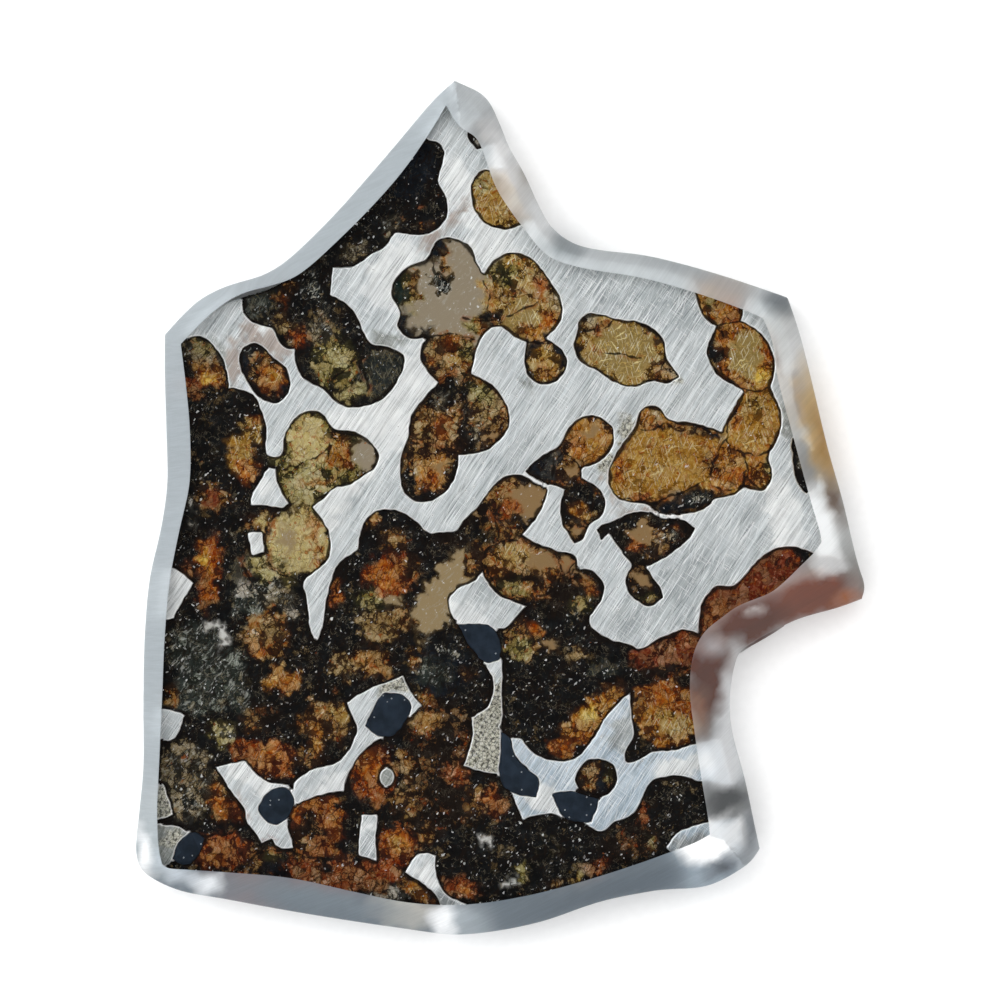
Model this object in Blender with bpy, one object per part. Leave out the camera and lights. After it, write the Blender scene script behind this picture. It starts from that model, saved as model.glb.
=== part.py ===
"""A slice of pallasite, a stony-iron meteorite, sealed in clear resin with ground, sloping edges.

The slice lies flat. The origin is the centre of the underside, +X is right, +Y runs to the
pointed end and +Z is up, in metres. Outlines are written in millimetres, in either direction.
A point marked CORNER keeps its angle, and the others lie on a smooth curve.
"""
import bpy
import bmesh
import numpy as np

MM = 0.001
CORNER = True

# Heights of the resin block and of the slice inside it
BLOCK_HEIGHT = 5.0 * MM
WALL_TOP = 3.0 * MM
FOOT_CHAMFER = 0.6 * MM
SLICE_BOTTOM = 0.7 * MM
SLICE_TOP = 3.1 * MM

# Clearance between neighbours in the slice and round the slice in its pocket, and the
# clearance between the two halves of the resin
GAP = 0.25 * MM
HALF_GAP = 0.3 * MM

# How far the edge of the slice lies inside the edge of the block
SLICE_INSET = 1.35 * MM

# Length of the straight pieces that a grain's outline and the block's outline are made of
GRAIN_STEP = 0.8 * MM
BLOCK_STEP = 1.2 * MM

# Sides of the round crystal
ROUND_SIDES = 16

# Half the side, in millimetres, of a square that reaches past the block on every side
FAR = 40.0

# A cap's points this near to a wall's are one point
WELD = 0.0001 * MM

# A moved corner runs out at most this many times as far as its sides do
LONGEST_MITRE = 2.5

# A moved outline keeps the points that are at least this share of the distance away
KEPT_SHARE = 0.98

# Edges that turn by more than this, in radians, stay sharp in the shading
SHARP_ANGLE = 0.6

# Block stations, clockwise from the pointed end: a point of the outer edge, then the point of
# the polished face that the sloping edge runs up to
BLOCK_STATIONS = [
    (-3.2, 29.9, -3.8, 28.05, CORNER),
    (-0.95, 28.6, -2.8, 26.5, CORNER),
    (-0.2, 27.2, -1.7, 25.8),
    (0.57, 25.3, -1.0, 24.2),
    (1.64, 23.4, -0.35, 22.4),
    (2.7, 21.1, 0.8, 20.55),
    (3.6, 19.6, 1.9, 19.1),
    (5.1, 18.5, 3.3, 17.55),
    (6.8, 18.05, 5.3, 16.8),
    (10.4, 17.6, 9.9, 16.0),
    (15.0, 16.4, 14.3, 14.75),
    (18.5, 15.25, 17.3, 13.65),
    (20.1, 14.7, 18.3, 13.2, CORNER),
    (20.9, 12.3, 18.95, 11.6),
    (21.7, 9.2, 19.3, 9.2),
    (22.9, 4.2, 20.45, 4.8),
    (24.0, 0.3, 21.6, 0.6),
    (24.8, -3.1, 22.25, -1.6),
    (25.5, -5.6, 22.4, -2.4, CORNER),
    (25.3, -6.4, 22.0, -3.0, CORNER),
    (23.5, -7.05, 20.6, -4.4),
    (21.0, -7.75, 18.9, -5.9),
    (18.4, -9.0, 16.5, -6.9),
    (16.8, -10.05, 14.3, -8.6, CORNER),
    (16.35, -11.2, 13.55, -9.9),
    (16.05, -13.5, 13.2, -12.5),
    (16.2, -15.6, 13.5, -15.4),
    (17.1, -19.0, 14.05, -19.1),
    (17.8, -22.3, 14.5, -21.8),
    (18.15, -23.9, 14.6, -22.8, CORNER),
    (17.5, -24.8, 13.7, -23.3),
    (14.6, -26.45, 11.9, -24.0),
    (11.2, -26.78, 9.7, -24.8),
    (7.1, -27.57, 6.3, -25.9),
    (3.0, -28.95, 2.6, -26.9),
    (-0.3, -29.65, -0.6, -27.5),
    (-3.3, -29.9, -3.3, -27.72),
    (-6.6, -29.5, -6.4, -27.55),
    (-10.4, -28.95, -9.96, -26.85),
    (-15.0, -28.2, -14.6, -25.85),
    (-19.35, -27.4, -18.9, -25.45),
    (-22.5, -26.8, -21.9, -25.25),
    (-24.3, -26.0, -23.2, -25.15),
    (-25.15, -25.35, -23.6, -24.9, CORNER),
    (-25.5, -24.2, -23.8, -24.0),
    (-25.3, -21.5, -23.94, -21.3),
    (-25.0, -18.2, -23.82, -18.2),
    (-25.0, -13.5, -23.6, -13.4),
    (-24.9, -9.0, -23.4, -8.8),
    (-24.55, -5.0, -23.03, -4.9),
    (-23.75, -1.4, -22.35, -1.4),
    (-23.33, 1.6, -21.7, 1.6),
    (-23.38, 5.2, -21.65, 5.2),
    (-23.5, 9.5, -22.0, 9.1),
    (-23.5, 12.1, -22.3, 11.4, CORNER),
    (-21.1, 14.5, -20.1, 13.6),
    (-19.0, 15.55, -18.2, 14.85),
    (-16.8, 16.2, -16.3, 15.4),
    (-15.2, 17.1, -14.4, 16.05),
    (-12.0, 20.1, -11.2, 18.75),
    (-8.0, 24.6, -7.1, 23.1),
    (-4.5, 28.7, -4.45, 26.9),
]

# A lip left at the foot of the block where its edge was ground hollow
LIP = [(16.9, -9.3), (16.2, -9.45), (16.05, -9.8), (16.3, -10.25), (16.75, -10.2),
       (17.6, -9.75), (19.0, -8.95), (19.9, -8.35), (18.8, -8.4)]
LIP_BOTTOM = 0.1 * MM
LIP_TOP = 1.2 * MM

# The crystals grown together from the left edge to the lower right, with all metal inside them
LOWER_NETWORK = [
    (-FAR, 10.4, CORNER), (-22.9, 10.9), (-22.0, 11.7), (-21.0, 11.95), (-20.2, 11.5),
    (-19.4, 10.3), (-19.1, 9.1), (-19.0, 8.35, CORNER), (-18.0, 8.15), (-17.3, 7.9),
    (-16.75, 6.8), (-16.45, 5.6), (-16.39, 3.7, CORNER), (-15.8, 3.45), (-15.3, 3.6, CORNER),
    (-15.1, 4.7), (-14.6, 5.95), (-13.6, 6.68), (-12.6, 6.6), (-11.65, 5.45, CORNER),
    (-10.7, 5.37), (-9.6, 4.96), (-8.8, 4.3), (-8.5, 3.4), (-8.95, 2.6), (-9.85, 2.15),
    (-10.5, 1.58), (-11.5, 1.5), (-12.3, 0.7), (-13.2, 0.02, CORNER), (-12.5, -0.8),
    (-12.0, -1.8), (-11.9, -2.9), (-12.3, -3.9), (-13.2, -4.6), (-13.85, -5.15, CORNER),
    (-13.6, -6.2), (-13.45, -7.4), (-13.35, -8.5), (-12.87, -9.6, CORNER), (-12.4, -8.4),
    (-12.25, -7.0), (-11.95, -5.6), (-11.5, -4.33), (-10.9, -3.55), (-9.9, -3.0, CORNER),
    (-9.75, -1.7), (-9.3, -0.65), (-8.4, -0.18), (-7.2, -0.25), (-6.3, -0.65),
    (-5.15, -1.8, CORNER), (-4.1, -1.72), (-3.1, -1.65), (-2.5, -0.85), (-1.5, 0.15),
    (-0.7, 1.3), (0.4, 2.2), (1.5, 2.25), (2.3, 1.75), (3.25, 1.3, CORNER), (3.05, 0.2),
    (2.4, -0.85), (1.5, -1.95, CORNER), (2.6, -2.55), (4.0, -3.1), (5.0, -3.2), (5.4, -3.9),
    (4.9, -4.75, CORNER), (5.7, -4.3), (6.7, -4.65), (7.25, -5.5), (7.0, -6.6), (6.1, -7.95),
    (6.6, -8.6), (7.7, -9.3), (8.8, -9.5), (9.75, -9.95, CORNER), (10.7, -9.4),
    (12.0, -8.75), (13.1, -8.55), (13.9, -8.85, CORNER), (13.95, -7.4), (14.3, -6.3),
    (15.1, -5.5), (16.3, -5.5), (17.1, -4.8), (17.9, -3.8), (19.1, -2.95), (20.5, -2.75),
    (21.9, -3.2), (FAR, -9.0, CORNER), (FAR, -FAR, CORNER), (-FAR, -FAR, CORNER),
]

# Metal enclosed by that network, or standing between it and the edge of the slice
METAL_ISLANDS = {
    "metal_left_wedge": [
        (-16.2, 2.85), (-15.7, 2.75), (-15.55, 1.6), (-14.75, 0.3, CORNER), (-15.4, -0.05),
        (-16.6, 0.15), (-17.5, 0.15, CORNER), (-17.4, 1.0), (-16.75, 2.0)],
    "metal_square_fleck": [
        (-17.62, -1.8, CORNER), (-16.66, -1.73, CORNER), (-16.6, -3.1, CORNER),
        (-17.35, -3.3, CORNER)],
    "metal_left_rim_upper": [
        (-FAR, -3.9, CORNER), (-22.94, -4.2, CORNER), (-22.0, -4.8), (-21.46, -5.3, CORNER),
        (-22.1, -6.3), (-22.6, -7.2), (-22.8, -7.85, CORNER), (-FAR, -8.1, CORNER)],
    "metal_left_rim_middle": [
        (-FAR, -13.9, CORNER), (-23.0, -14.1), (-22.0, -14.5, CORNER), (-22.4, -15.5),
        (-23.0, -16.35, CORNER), (-FAR, -16.2, CORNER)],
    "metal_left_rim_grey": [
        (-FAR, -19.1, CORNER), (-23.6, -19.3, CORNER), (-23.1, -20.5), (-22.85, -21.5),
        (-23.4, -21.7, CORNER), (-FAR, -21.6, CORNER)],
    "metal_left_rim_lower": [
        (-FAR, -22.15, CORNER), (-23.2, -22.2), (-22.3, -22.35), (-21.5, -22.85, CORNER),
        (-22.3, -24.3), (-22.9, -24.75, CORNER), (-23.5, -25.2), (-FAR, -25.6, CORNER)],
    "metal_centre_wedge": [
        (-3.6, -6.3), (-2.9, -5.6), (-1.9, -5.15), (-1.24, -4.43, CORNER), (-0.85, -5.3),
        (-0.1, -6.1), (1.87, -6.85, CORNER), (1.1, -7.6), (0.4, -8.45, CORNER),
        (-0.6, -8.5), (-2.9, -8.26, CORNER), (-3.55, -7.3)],
    "metal_star": [
        (-19.95, -18.1, CORNER), (-18.9, -17.9), (-17.8, -17.63, CORNER), (-17.2, -18.5),
        (-16.3, -19.12), (-15.2, -19.28), (-14.75, -19.3, CORNER), (-14.75, -20.8, CORNER),
        (-14.9, -22.0), (-14.65, -23.1), (-14.5, -23.85, CORNER), (-15.6, -23.75),
        (-16.05, -23.15), (-16.7, -23.45, CORNER), (-17.35, -22.5), (-17.85, -21.8),
        (-17.85, -21.1), (-18.6, -20.2), (-19.4, -19.0)],
    "metal_long_strip": [
        (-14.45, -19.3, CORNER), (-13.7, -18.66), (-12.9, -18.2), (-11.6, -17.9),
        (-10.8, -17.2), (-10.25, -16.3), (-10.07, -15.3), (-10.4, -14.5),
        (-10.8, -13.65, CORNER), (-9.9, -13.05), (-8.6, -12.4), (-7.7, -12.1),
        (-6.86, -11.67, CORNER), (-6.3, -12.8), (-5.45, -13.87, CORNER), (-6.7, -15.0),
        (-8.0, -15.95), (-9.2, -16.67), (-10.1, -17.7), (-10.7, -18.8),
        (-10.9, -19.84, CORNER), (-12.5, -20.1), (-13.8, -20.55), (-14.45, -20.8, CORNER)],
    "metal_oval_fleck": [
        (-7.95, -17.95), (-7.3, -18.6), (-7.95, -19.8), (-8.6, -19.0)],
    "metal_bar": [
        (-9.65, -21.55, CORNER), (-8.65, -21.55, CORNER), (-8.8, -22.9), (-8.7, -24.6, CORNER),
        (-9.9, -24.3, CORNER), (-9.8, -22.9)],
    "metal_foot": [
        (-5.65, -24.1, CORNER), (-4.5, -24.3, CORNER), (-4.5, -25.5), (-4.0, -26.8),
        (-2.7, -27.6), (-0.8, -28.4, CORNER), (-1.5, -FAR, CORNER), (-5.0, -FAR, CORNER),
        (-4.2, -27.8), (-4.9, -26.75), (-6.7, -25.5, CORNER)],
    "metal_column": [
        (-1.14, -10.9, CORNER), (-0.6, -11.0), (0.12, -10.6, CORNER), (0.15, -12.0),
        (0.12, -13.4), (0.15, -15.0), (-0.05, -16.5), (-0.12, -18.7, CORNER),
        (-0.9, -18.6), (-2.6, -18.1, CORNER), (-2.2, -16.8), (-1.95, -15.7),
        (-2.1, -14.7, CORNER), (-0.9, -13.95), (-0.5, -12.9), (-0.55, -12.0)],
    "metal_lower_right": [
        (0.75, -16.1), (1.4, -16.1), (2.3, -17.15), (3.7, -17.7), (5.1, -17.6),
        (6.1, -16.7), (6.9, -15.4), (7.9, -14.0), (9.1, -12.9, CORNER), (9.2, -14.5),
        (9.38, -16.06, CORNER), (8.7, -17.1), (8.75, -17.85), (9.8, -17.6),
        (10.6, -17.0, CORNER), (12.0, -17.0), (13.7, -16.45), (FAR, -13.0, CORNER),
        (FAR, -22.0, CORNER), (14.2, -19.25), (12.9, -18.84), (11.6, -18.8),
        (10.4, -19.3), (9.9, -20.4), (9.3, -21.5), (8.2, -21.9), (6.95, -22.72, CORNER),
        (5.8, -22.15), (4.5, -21.7), (3.0, -21.42), (1.5, -21.86, CORNER),
        (1.1, -20.8), (0.6, -19.8, CORNER), (1.6, -19.4), (1.4, -18.2), (0.7, -17.0)],
    "metal_lower_right_rim": [
        (11.55, -23.75, CORNER), (12.4, -22.7), (13.4, -22.25), (14.6, -21.95),
        (FAR, -17.5, CORNER), (FAR, -FAR, CORNER), (13.0, -FAR, CORNER), (12.6, -25.5)],
}

# Crystals and clusters of crystals that stand in the main metal
OLIVINE_CLUSTERS = {
    "olivine_upper_left_rim": [
        (-8.2, 28.0, CORNER), (-5.14, 25.74), (-4.1, 25.3), (-3.97, 24.4),
        (-4.45, 22.8, CORNER), (-3.8, 21.7), (-3.75, 20.5), (-4.4, 19.5), (-5.5, 19.05),
        (-7.35, 19.25, CORNER), (-7.9, 18.35), (-9.2, 17.65, CORNER), (-10.3, 16.9),
        (-11.7, 16.8, CORNER), (-12.0, 14.85, CORNER), (-10.7, 14.2), (-9.9, 13.06),
        (-9.1, 11.4), (-8.0, 11.25), (-6.7, 10.5), (-7.2, 8.9), (-8.2, 7.6), (-9.7, 7.08),
        (-11.0, 7.05), (-12.3, 8.25), (-13.6, 8.9), (-14.3, 9.96), (-14.35, 11.1, CORNER),
        (-15.3, 11.3), (-15.9, 12.6), (-17.2, 12.85), (-17.95, 13.7), (-18.1, 15.0, CORNER),
        (-19.5, 19.0, CORNER)],
    "olivine_bean": [
        (-18.3, 10.4), (-17.7, 11.4), (-16.8, 11.4), (-15.9, 10.4), (-14.95, 9.75),
        (-14.72, 8.4), (-15.6, 7.28), (-16.9, 7.75), (-17.9, 9.2)],
    "olivine_upper_rim": [
        (-2.0, 21.9), (-1.85, 23.05), (-1.2, 23.6), (-0.5, 23.5), (3.0, 24.6, CORNER),
        (5.0, 20.6, CORNER), (1.5, 19.75), (0.2, 19.43), (-1.1, 19.95), (-1.8, 20.8)],
    "olivine_point_fleck": [
        (-2.35, 26.1), (-1.7, 25.1), (-0.9, 25.3), (-0.6, 26.4), (-1.5, 27.0)],
    "olivine_upper_centre": [
        (-4.95, 17.5, CORNER), (-4.4, 18.7), (-3.2, 18.75), (-2.0, 18.2), (-1.75, 17.2),
        (-1.2, 16.25, CORNER), (-0.5, 17.2), (0.8, 17.8), (2.1, 17.45), (3.3, 16.0),
        (4.2, 14.5), (4.25, 13.2), (3.1, 11.85, CORNER), (4.2, 11.05), (4.7, 10.1),
        (3.9, 8.85), (2.8, 8.6), (1.75, 9.6), (1.85, 11.55, CORNER), (0.8, 12.1),
        (-0.25, 12.75), (-1.4, 11.8), (-1.8, 10.7), (-2.1, 9.35, CORNER), (-0.9, 8.75),
        (0.2, 7.6), (0.64, 6.2), (0.1, 4.95), (-1.1, 4.0), (-2.97, 3.63, CORNER),
        (-3.1, 2.3), (-4.1, 0.9), (-5.4, 0.35), (-6.6, 0.85), (-7.0, 2.3),
        (-6.85, 3.8), (-6.4, 5.1), (-6.15, 6.6), (-5.3, 7.6), (-4.3, 8.75, CORNER),
        (-5.3, 9.8), (-5.55, 11.0), (-5.1, 12.0, CORNER), (-6.4, 11.85), (-7.25, 12.7),
        (-6.9, 13.75, CORNER), (-7.6, 14.9), (-7.0, 16.4)],
    "olivine_lens": [
        (5.1, 11.2), (5.5, 10.35), (6.7, 9.6), (8.0, 8.8), (9.2, 8.43), (10.6, 8.9),
        (11.6, 8.7), (12.5, 9.1, CORNER), (11.65, 10.3), (11.3, 11.8), (10.2, 12.8),
        (8.8, 13.1), (7.6, 13.25), (6.3, 13.6), (5.5, 13.1), (5.35, 12.1)],
    "olivine_right_cluster": [
        (8.35, 4.2), (7.7, 2.9), (7.55, 1.6), (8.4, 0.55), (10.2, 0.25), (11.2, -0.35),
        (12.6, -0.42), (14.3, -0.08), (15.1, 0.72, CORNER), (16.2, 0.85),
        (17.1, 1.5, CORNER), (18.3, 1.1), (19.05, 2.3), (18.6, 3.55, CORNER),
        (19.35, 4.8), (19.66, 6.4), (18.85, 8.4, CORNER), (19.15, 10.0), (18.4, 12.0),
        (16.8, 13.0, CORNER), (17.1, 14.3), (18.0, 17.5, CORNER), (13.0, 18.0, CORNER),
        (13.85, 14.2), (14.3, 13.25), (15.1, 12.65, CORNER), (14.5, 11.2), (14.9, 9.6),
        (17.05, 8.15, CORNER), (16.2, 6.8), (15.5, 5.25, CORNER), (13.8, 5.8),
        (11.65, 6.15, CORNER), (11.0, 7.08), (9.9, 6.95), (9.4, 5.5, CORNER)],
    "olivine_right_rim": [
        (20.6, 10.3), (20.2, 8.6), (20.35, 6.9), (21.1, 5.4), (FAR, 2.0, CORNER),
        (FAR, 14.0, CORNER)],
    "olivine_right_rim_sliver": [
        (20.4, 4.9), (20.5, 3.4), (20.75, 1.8), (21.4, 1.0), (21.9, 1.7), (21.7, 3.0),
        (21.1, 4.4)],
    "olivine_middle_cluster": [
        (1.75, 2.55, CORNER), (2.9, 3.6), (4.2, 4.3), (4.5, 5.1), (5.3, 6.1), (6.6, 6.42),
        (7.75, 5.7), (7.85, 4.4), (6.9, 3.2), (5.75, 2.8, CORNER), (5.62, 2.0),
        (6.6, 1.6), (7.3, 0.6), (7.05, -0.6), (6.1, -1.2, CORNER), (5.9, -2.05),
        (5.14, -2.5), (4.6, -1.6), (4.15, -0.3), (4.6, 1.3, CORNER), (3.3, 1.7),
        (2.4, 2.05)],
    "olivine_right_wedge": [
        (7.75, -1.05), (9.0, -0.45), (10.2, -0.3), (11.4, -0.82), (12.8, -0.9),
        (13.56, -1.5), (12.6, -2.7), (11.2, -3.65), (10.05, -4.1, CORNER), (11.0, -5.4),
        (11.3, -6.3), (10.4, -6.9), (9.2, -6.25), (8.72, -5.0), (9.25, -4.0, CORNER),
        (8.3, -2.8), (7.6, -1.75, CORNER), (7.05, -2.3), (6.75, -1.55), (7.3, -1.15)],
}

# A round crystal in the lower right metal: its centre, half its width and half its height
ROUND_CRYSTAL = (6.7, -18.93, 1.46, 1.37)

# Flat black crystals of chromite, which cut across metal and olivine alike
DARK_CRYSTALS = {
    "chromite_lower_left": [
        (-21.5, -22.62), (-20.7, -23.1, CORNER), (-21.2, -24.4), (-21.9, -25.0),
        (-22.95, -24.6, CORNER), (-22.5, -23.5)],
    "chromite_star": [
        (-16.35, -19.95), (-15.6, -19.58), (-14.75, -19.7), (-14.4, -20.4), (-14.9, -21.6),
        (-15.9, -22.2), (-17.0, -21.15, CORNER)],
    "chromite_centre_left": [
        (-8.3, -13.02, CORNER), (-6.8, -13.1), (-6.25, -13.9), (-6.9, -15.3),
        (-7.45, -15.95), (-8.8, -15.8), (-9.5, -15.3, CORNER), (-8.8, -14.0)],
    "chromite_centre": [
        (-2.95, -8.2, CORNER), (-0.45, -8.5, CORNER), (0.0, -9.5), (-0.1, -10.6, CORNER),
        (-1.2, -10.8, CORNER), (-2.1, -9.8)],
    "chromite_hook": [
        (0.1, -15.7), (0.6, -16.1), (0.9, -17.2), (1.9, -18.3), (2.7, -19.1),
        (2.45, -20.25, CORNER), (1.3, -20.1), (0.2, -19.5), (-0.05, -18.6), (0.05, -17.0)],
    "chromite_lower_right": [
        (3.6, -20.05), (4.3, -19.85), (5.6, -20.0), (6.83, -20.4, CORNER), (6.3, -22.05),
        (4.6, -21.75, CORNER)],
}


def remove_everything():
    """Empties the scene of objects."""
    for thing in list(bpy.data.objects):
        bpy.data.objects.remove(thing, do_unlink=True)


def new_collection(name):
    """A collection linked to the scene."""
    group = bpy.data.collections.new(name)
    bpy.context.scene.collection.children.link(group)
    return group


def material(name, colour, roughness, metallic, alpha=1.0):
    """A plain surface with one colour (linear red, green, blue)."""
    made = bpy.data.materials.new(name)
    made.use_nodes = True
    shader = made.node_tree.nodes["Principled BSDF"]
    shader.inputs["Base Color"].default_value = (*colour, 1.0)
    shader.inputs["Roughness"].default_value = roughness
    shader.inputs["Metallic"].default_value = metallic
    shader.inputs["Alpha"].default_value = alpha
    made.diffuse_color = (*colour, alpha)
    return made


def curve_between(before, start, end, after, fractions):
    """Points of a centripetal Catmull-Rom curve from start to end, at fractions of the way."""
    first, middle, last = (
        np.linalg.norm(b - a) ** 0.5
        for a, b in ((before, start), (start, end), (end, after))
    )
    straight = (end - start) / middle
    leave = (start - before) / first - (end - before) / (first + middle) + straight
    arrive = straight - (after - start) / (middle + last) + (after - end) / last
    t = fractions[:, None]
    return (
        (2 * t**3 - 3 * t**2 + 1) * start
        + (t**3 - 2 * t**2 + t) * leave * middle
        + (3 * t**2 - 2 * t**3) * end
        + (t**3 - t**2) * arrive * middle
    )


def smooth_outline(marked, step):
    """Closed curve through marked points in millimetres, as an array in metres."""
    corner = [point[-1] is CORNER for point in marked]
    points = [
        np.array(point[:-1] if sharp else point, float) * MM
        for point, sharp in zip(marked, corner)
    ]
    count = len(points)
    rows = []
    for i in range(count):
        start, end = points[i], points[(i + 1) % count]
        before = start * 2 - end if corner[i] else points[i - 1]
        after = end * 2 - start if corner[(i + 1) % count] else points[(i + 2) % count]
        pieces = max(1, round(np.linalg.norm((end - start)[:2]) / step))
        if corner[i] and corner[(i + 1) % count]:
            pieces = 1
        rows.append(curve_between(before, start, end, after, np.arange(pieces) / pieces))
    return np.concatenate(rows)


def anticlockwise(outline):
    """The outline in the order that keeps its inside on the left."""
    x, y = outline[:, 0], outline[:, 1]
    area = np.sum(x * np.roll(y, -1) - np.roll(x, -1) * y) / 2
    return outline if area > 0 else outline[::-1]


def distance_to(outline, point):
    """Shortest distance from a point to a closed outline."""
    start = outline
    along = np.roll(outline, -1, axis=0) - start
    length = np.sum(along**2, axis=1)
    part = np.clip(np.sum((point - start) * along, axis=1) / length, 0, 1)
    nearest = start + along * part[:, None]
    return np.min(np.linalg.norm(nearest - point, axis=1))


def grown(outline, distance):
    """The outline moved outwards (inwards if negative), without the loops this makes."""
    outline = anticlockwise(outline)
    ahead = np.roll(outline, -1, axis=0) - outline
    ahead /= np.linalg.norm(ahead, axis=1)[:, None]
    normal = np.stack([ahead[:, 1], -ahead[:, 0]], axis=1)
    before = np.roll(normal, 1, axis=0)
    mitre = (normal + before) / (1 + np.sum(normal * before, axis=1)[:, None])
    mitre *= np.minimum(1, LONGEST_MITRE / np.linalg.norm(mitre, axis=1)[:, None])
    moved = outline + mitre * distance
    kept = [p for p in moved if distance_to(outline, p) > abs(distance) * KEPT_SHARE]
    return np.array(kept)


def to_mesh(thing, name):
    """Replaces a curve by a mesh of the same shape with its caps welded on."""
    bpy.context.view_layer.update()
    evaluated = thing.evaluated_get(bpy.context.evaluated_depsgraph_get())
    mesh = bpy.data.meshes.new_from_object(evaluated)
    made = bpy.data.objects.new(name, mesh)
    made.matrix_world = thing.matrix_world
    bpy.data.objects.remove(thing, do_unlink=True)
    body = bmesh.new()
    body.from_mesh(mesh)
    bmesh.ops.remove_doubles(body, verts=body.verts, dist=WELD)
    bmesh.ops.recalc_face_normals(body, faces=body.faces)
    body.to_mesh(mesh)
    body.free()
    return made


def plate(name, outline, bottom, top, group):
    """A flat piece of the outline's shape between two heights."""
    data = bpy.data.curves.new(name, "CURVE")
    data.dimensions = "2D"
    data.fill_mode = "BOTH"
    data.extrude = (top - bottom) / 2
    spline = data.splines.new("POLY")
    spline.points.add(len(outline) - 1)
    for point, (x, y) in zip(spline.points, outline):
        point.co = (x, y, 0, 1)
    spline.use_cyclic_u = True
    thing = bpy.data.objects.new(name, data)
    thing.location.z = (top + bottom) / 2
    group.objects.link(thing)
    made = to_mesh(thing, name)
    group.objects.link(made)
    return made


def loft(name, rings, group):
    """A closed body through rings that have the same number of points."""
    body = bmesh.new()
    rows = [[body.verts.new(p) for p in ring] for ring in rings]
    count = len(rows[0])
    for low, high in zip(rows, rows[1:]):
        for i in range(count):
            j = (i + 1) % count
            body.faces.new((low[i], low[j], high[j], high[i]))
    body.faces.new(rows[0][::-1])
    body.faces.new(rows[-1])
    bmesh.ops.recalc_face_normals(body, faces=body.faces)
    bmesh.ops.triangulate(body, faces=body.faces)
    mesh = bpy.data.meshes.new(name)
    body.to_mesh(mesh)
    body.free()
    made = bpy.data.objects.new(name, mesh)
    group.objects.link(made)
    return made


def box(name, bottom, top, group):
    """A block wider than the part between two heights."""
    side = FAR * MM
    square = np.array([(-side, -side), (side, -side), (side, side), (-side, side)])
    return plate(name, square, bottom, top, group)


def combine(target, tool, operation):
    """Cuts, joins or intersects a body with another and keeps the result in the first."""
    change = target.modifiers.new("shape", "BOOLEAN")
    change.operation = operation
    change.solver = "EXACT"
    change.object = tool
    bpy.context.view_layer.update()
    evaluated = target.evaluated_get(bpy.context.evaluated_depsgraph_get())
    mesh = bpy.data.meshes.new_from_object(evaluated)
    target.modifiers.clear()
    target.data = mesh


def copy_of(thing, name, group):
    """A part that starts as a copy of a cutter, with a mesh of its own."""
    made = bpy.data.objects.new(name, thing.data.copy())
    made.matrix_world = thing.matrix_world
    group.objects.link(made)
    return made


def as_cutter(thing):
    """Marks a body that only shapes others."""
    thing.hide_render = True
    thing.display_type = "WIRE"


def finish(thing, look):
    """Gives a part its material and shades its round walls smooth."""
    thing.data.materials.clear()
    thing.data.materials.append(look)
    thing.data.shade_smooth()
    thing.data.set_sharp_from_angle(angle=SHARP_ANGLE)


def ring(outline, height):
    """An outline at a height, as points in space."""
    return [(x, y, height) for x, y in outline]


remove_everything()
parts = new_collection("pallasite_slice")
cutters = new_collection("pallasite_slice_cutters")

clear_resin = material("clear_resin", (0.80, 0.84, 0.86), 0.15, 0.0, 0.35)
iron_nickel = material("iron_nickel", (0.52, 0.55, 0.55), 0.35, 1.0)
amber_olivine = material("amber_olivine", (0.32, 0.17, 0.05), 0.30, 0.0)
black_chromite = material("black_chromite", (0.012, 0.014, 0.022), 0.25, 0.0)

# Resin block: up a small chamfer, up a short wall, and in along the sloping edge to the face
stations = smooth_outline(BLOCK_STATIONS, BLOCK_STEP)
edge = stations[:, :2]
face = stations[:, 2:]
inwards = (face - edge) / np.linalg.norm(face - edge, axis=1)[:, None]
foot = edge + inwards * FOOT_CHAMFER
block = loft(
    "block",
    [ring(foot, 0.0), ring(edge, FOOT_CHAMFER), ring(edge, WALL_TOP), ring(face, BLOCK_HEIGHT)],
    cutters,
)
as_cutter(block)

# The whole slice, and the pocket for it in the resin
slice_edge = grown(edge, -SLICE_INSET)
slice_body = plate("slice_body", slice_edge, SLICE_BOTTOM, SLICE_TOP, cutters)
as_cutter(slice_body)
pocket = plate("pocket", grown(slice_edge, GAP), SLICE_BOTTOM - GAP, SLICE_TOP + GAP, cutters)
as_cutter(pocket)

# Two halves of the resin, which meet at half the height of the slice
middle = (SLICE_BOTTOM + SLICE_TOP) / 2
below = box("below", -MM, middle - HALF_GAP / 2, cutters)
above = box("above", middle + HALF_GAP / 2, BLOCK_HEIGHT + MM, cutters)
lip = plate("lip", smooth_outline(LIP, GRAIN_STEP), LIP_BOTTOM, LIP_TOP, cutters)
for cutter in (below, above, lip):
    as_cutter(cutter)
resin_lower = copy_of(block, "resin_lower", parts)
combine(resin_lower, lip, "UNION")
combine(resin_lower, below, "INTERSECT")
resin_upper = copy_of(block, "resin_upper", parts)
combine(resin_upper, above, "INTERSECT")
for half in (resin_lower, resin_upper):
    combine(half, pocket, "DIFFERENCE")
    finish(half, clear_resin)


def prism(name, outline):
    """A cutter of the outline's shape, taller than the slice."""
    made = plate(name, outline, SLICE_BOTTOM - MM, SLICE_TOP + MM, cutters)
    as_cutter(made)
    return made


def piece_of_slice(name, outline, rooms):
    """The part of the slice inside an outline, less the room that other pieces take."""
    made = copy_of(slice_body, name, parts)
    combine(made, prism(name + "_shape", outline), "INTERSECT")
    for room in rooms:
        combine(made, room, "DIFFERENCE")
    return made


def room_for(name, outline):
    """A cutter that leaves a piece's neighbours clear of it."""
    return prism(name + "_room", grown(outline, GAP))


# Black crystals
crystal_rooms = []
for name, points in DARK_CRYSTALS.items():
    outline = smooth_outline(points, GRAIN_STEP)
    finish(piece_of_slice(name, outline, []), black_chromite)
    crystal_rooms.append(room_for(name, outline))

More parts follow.
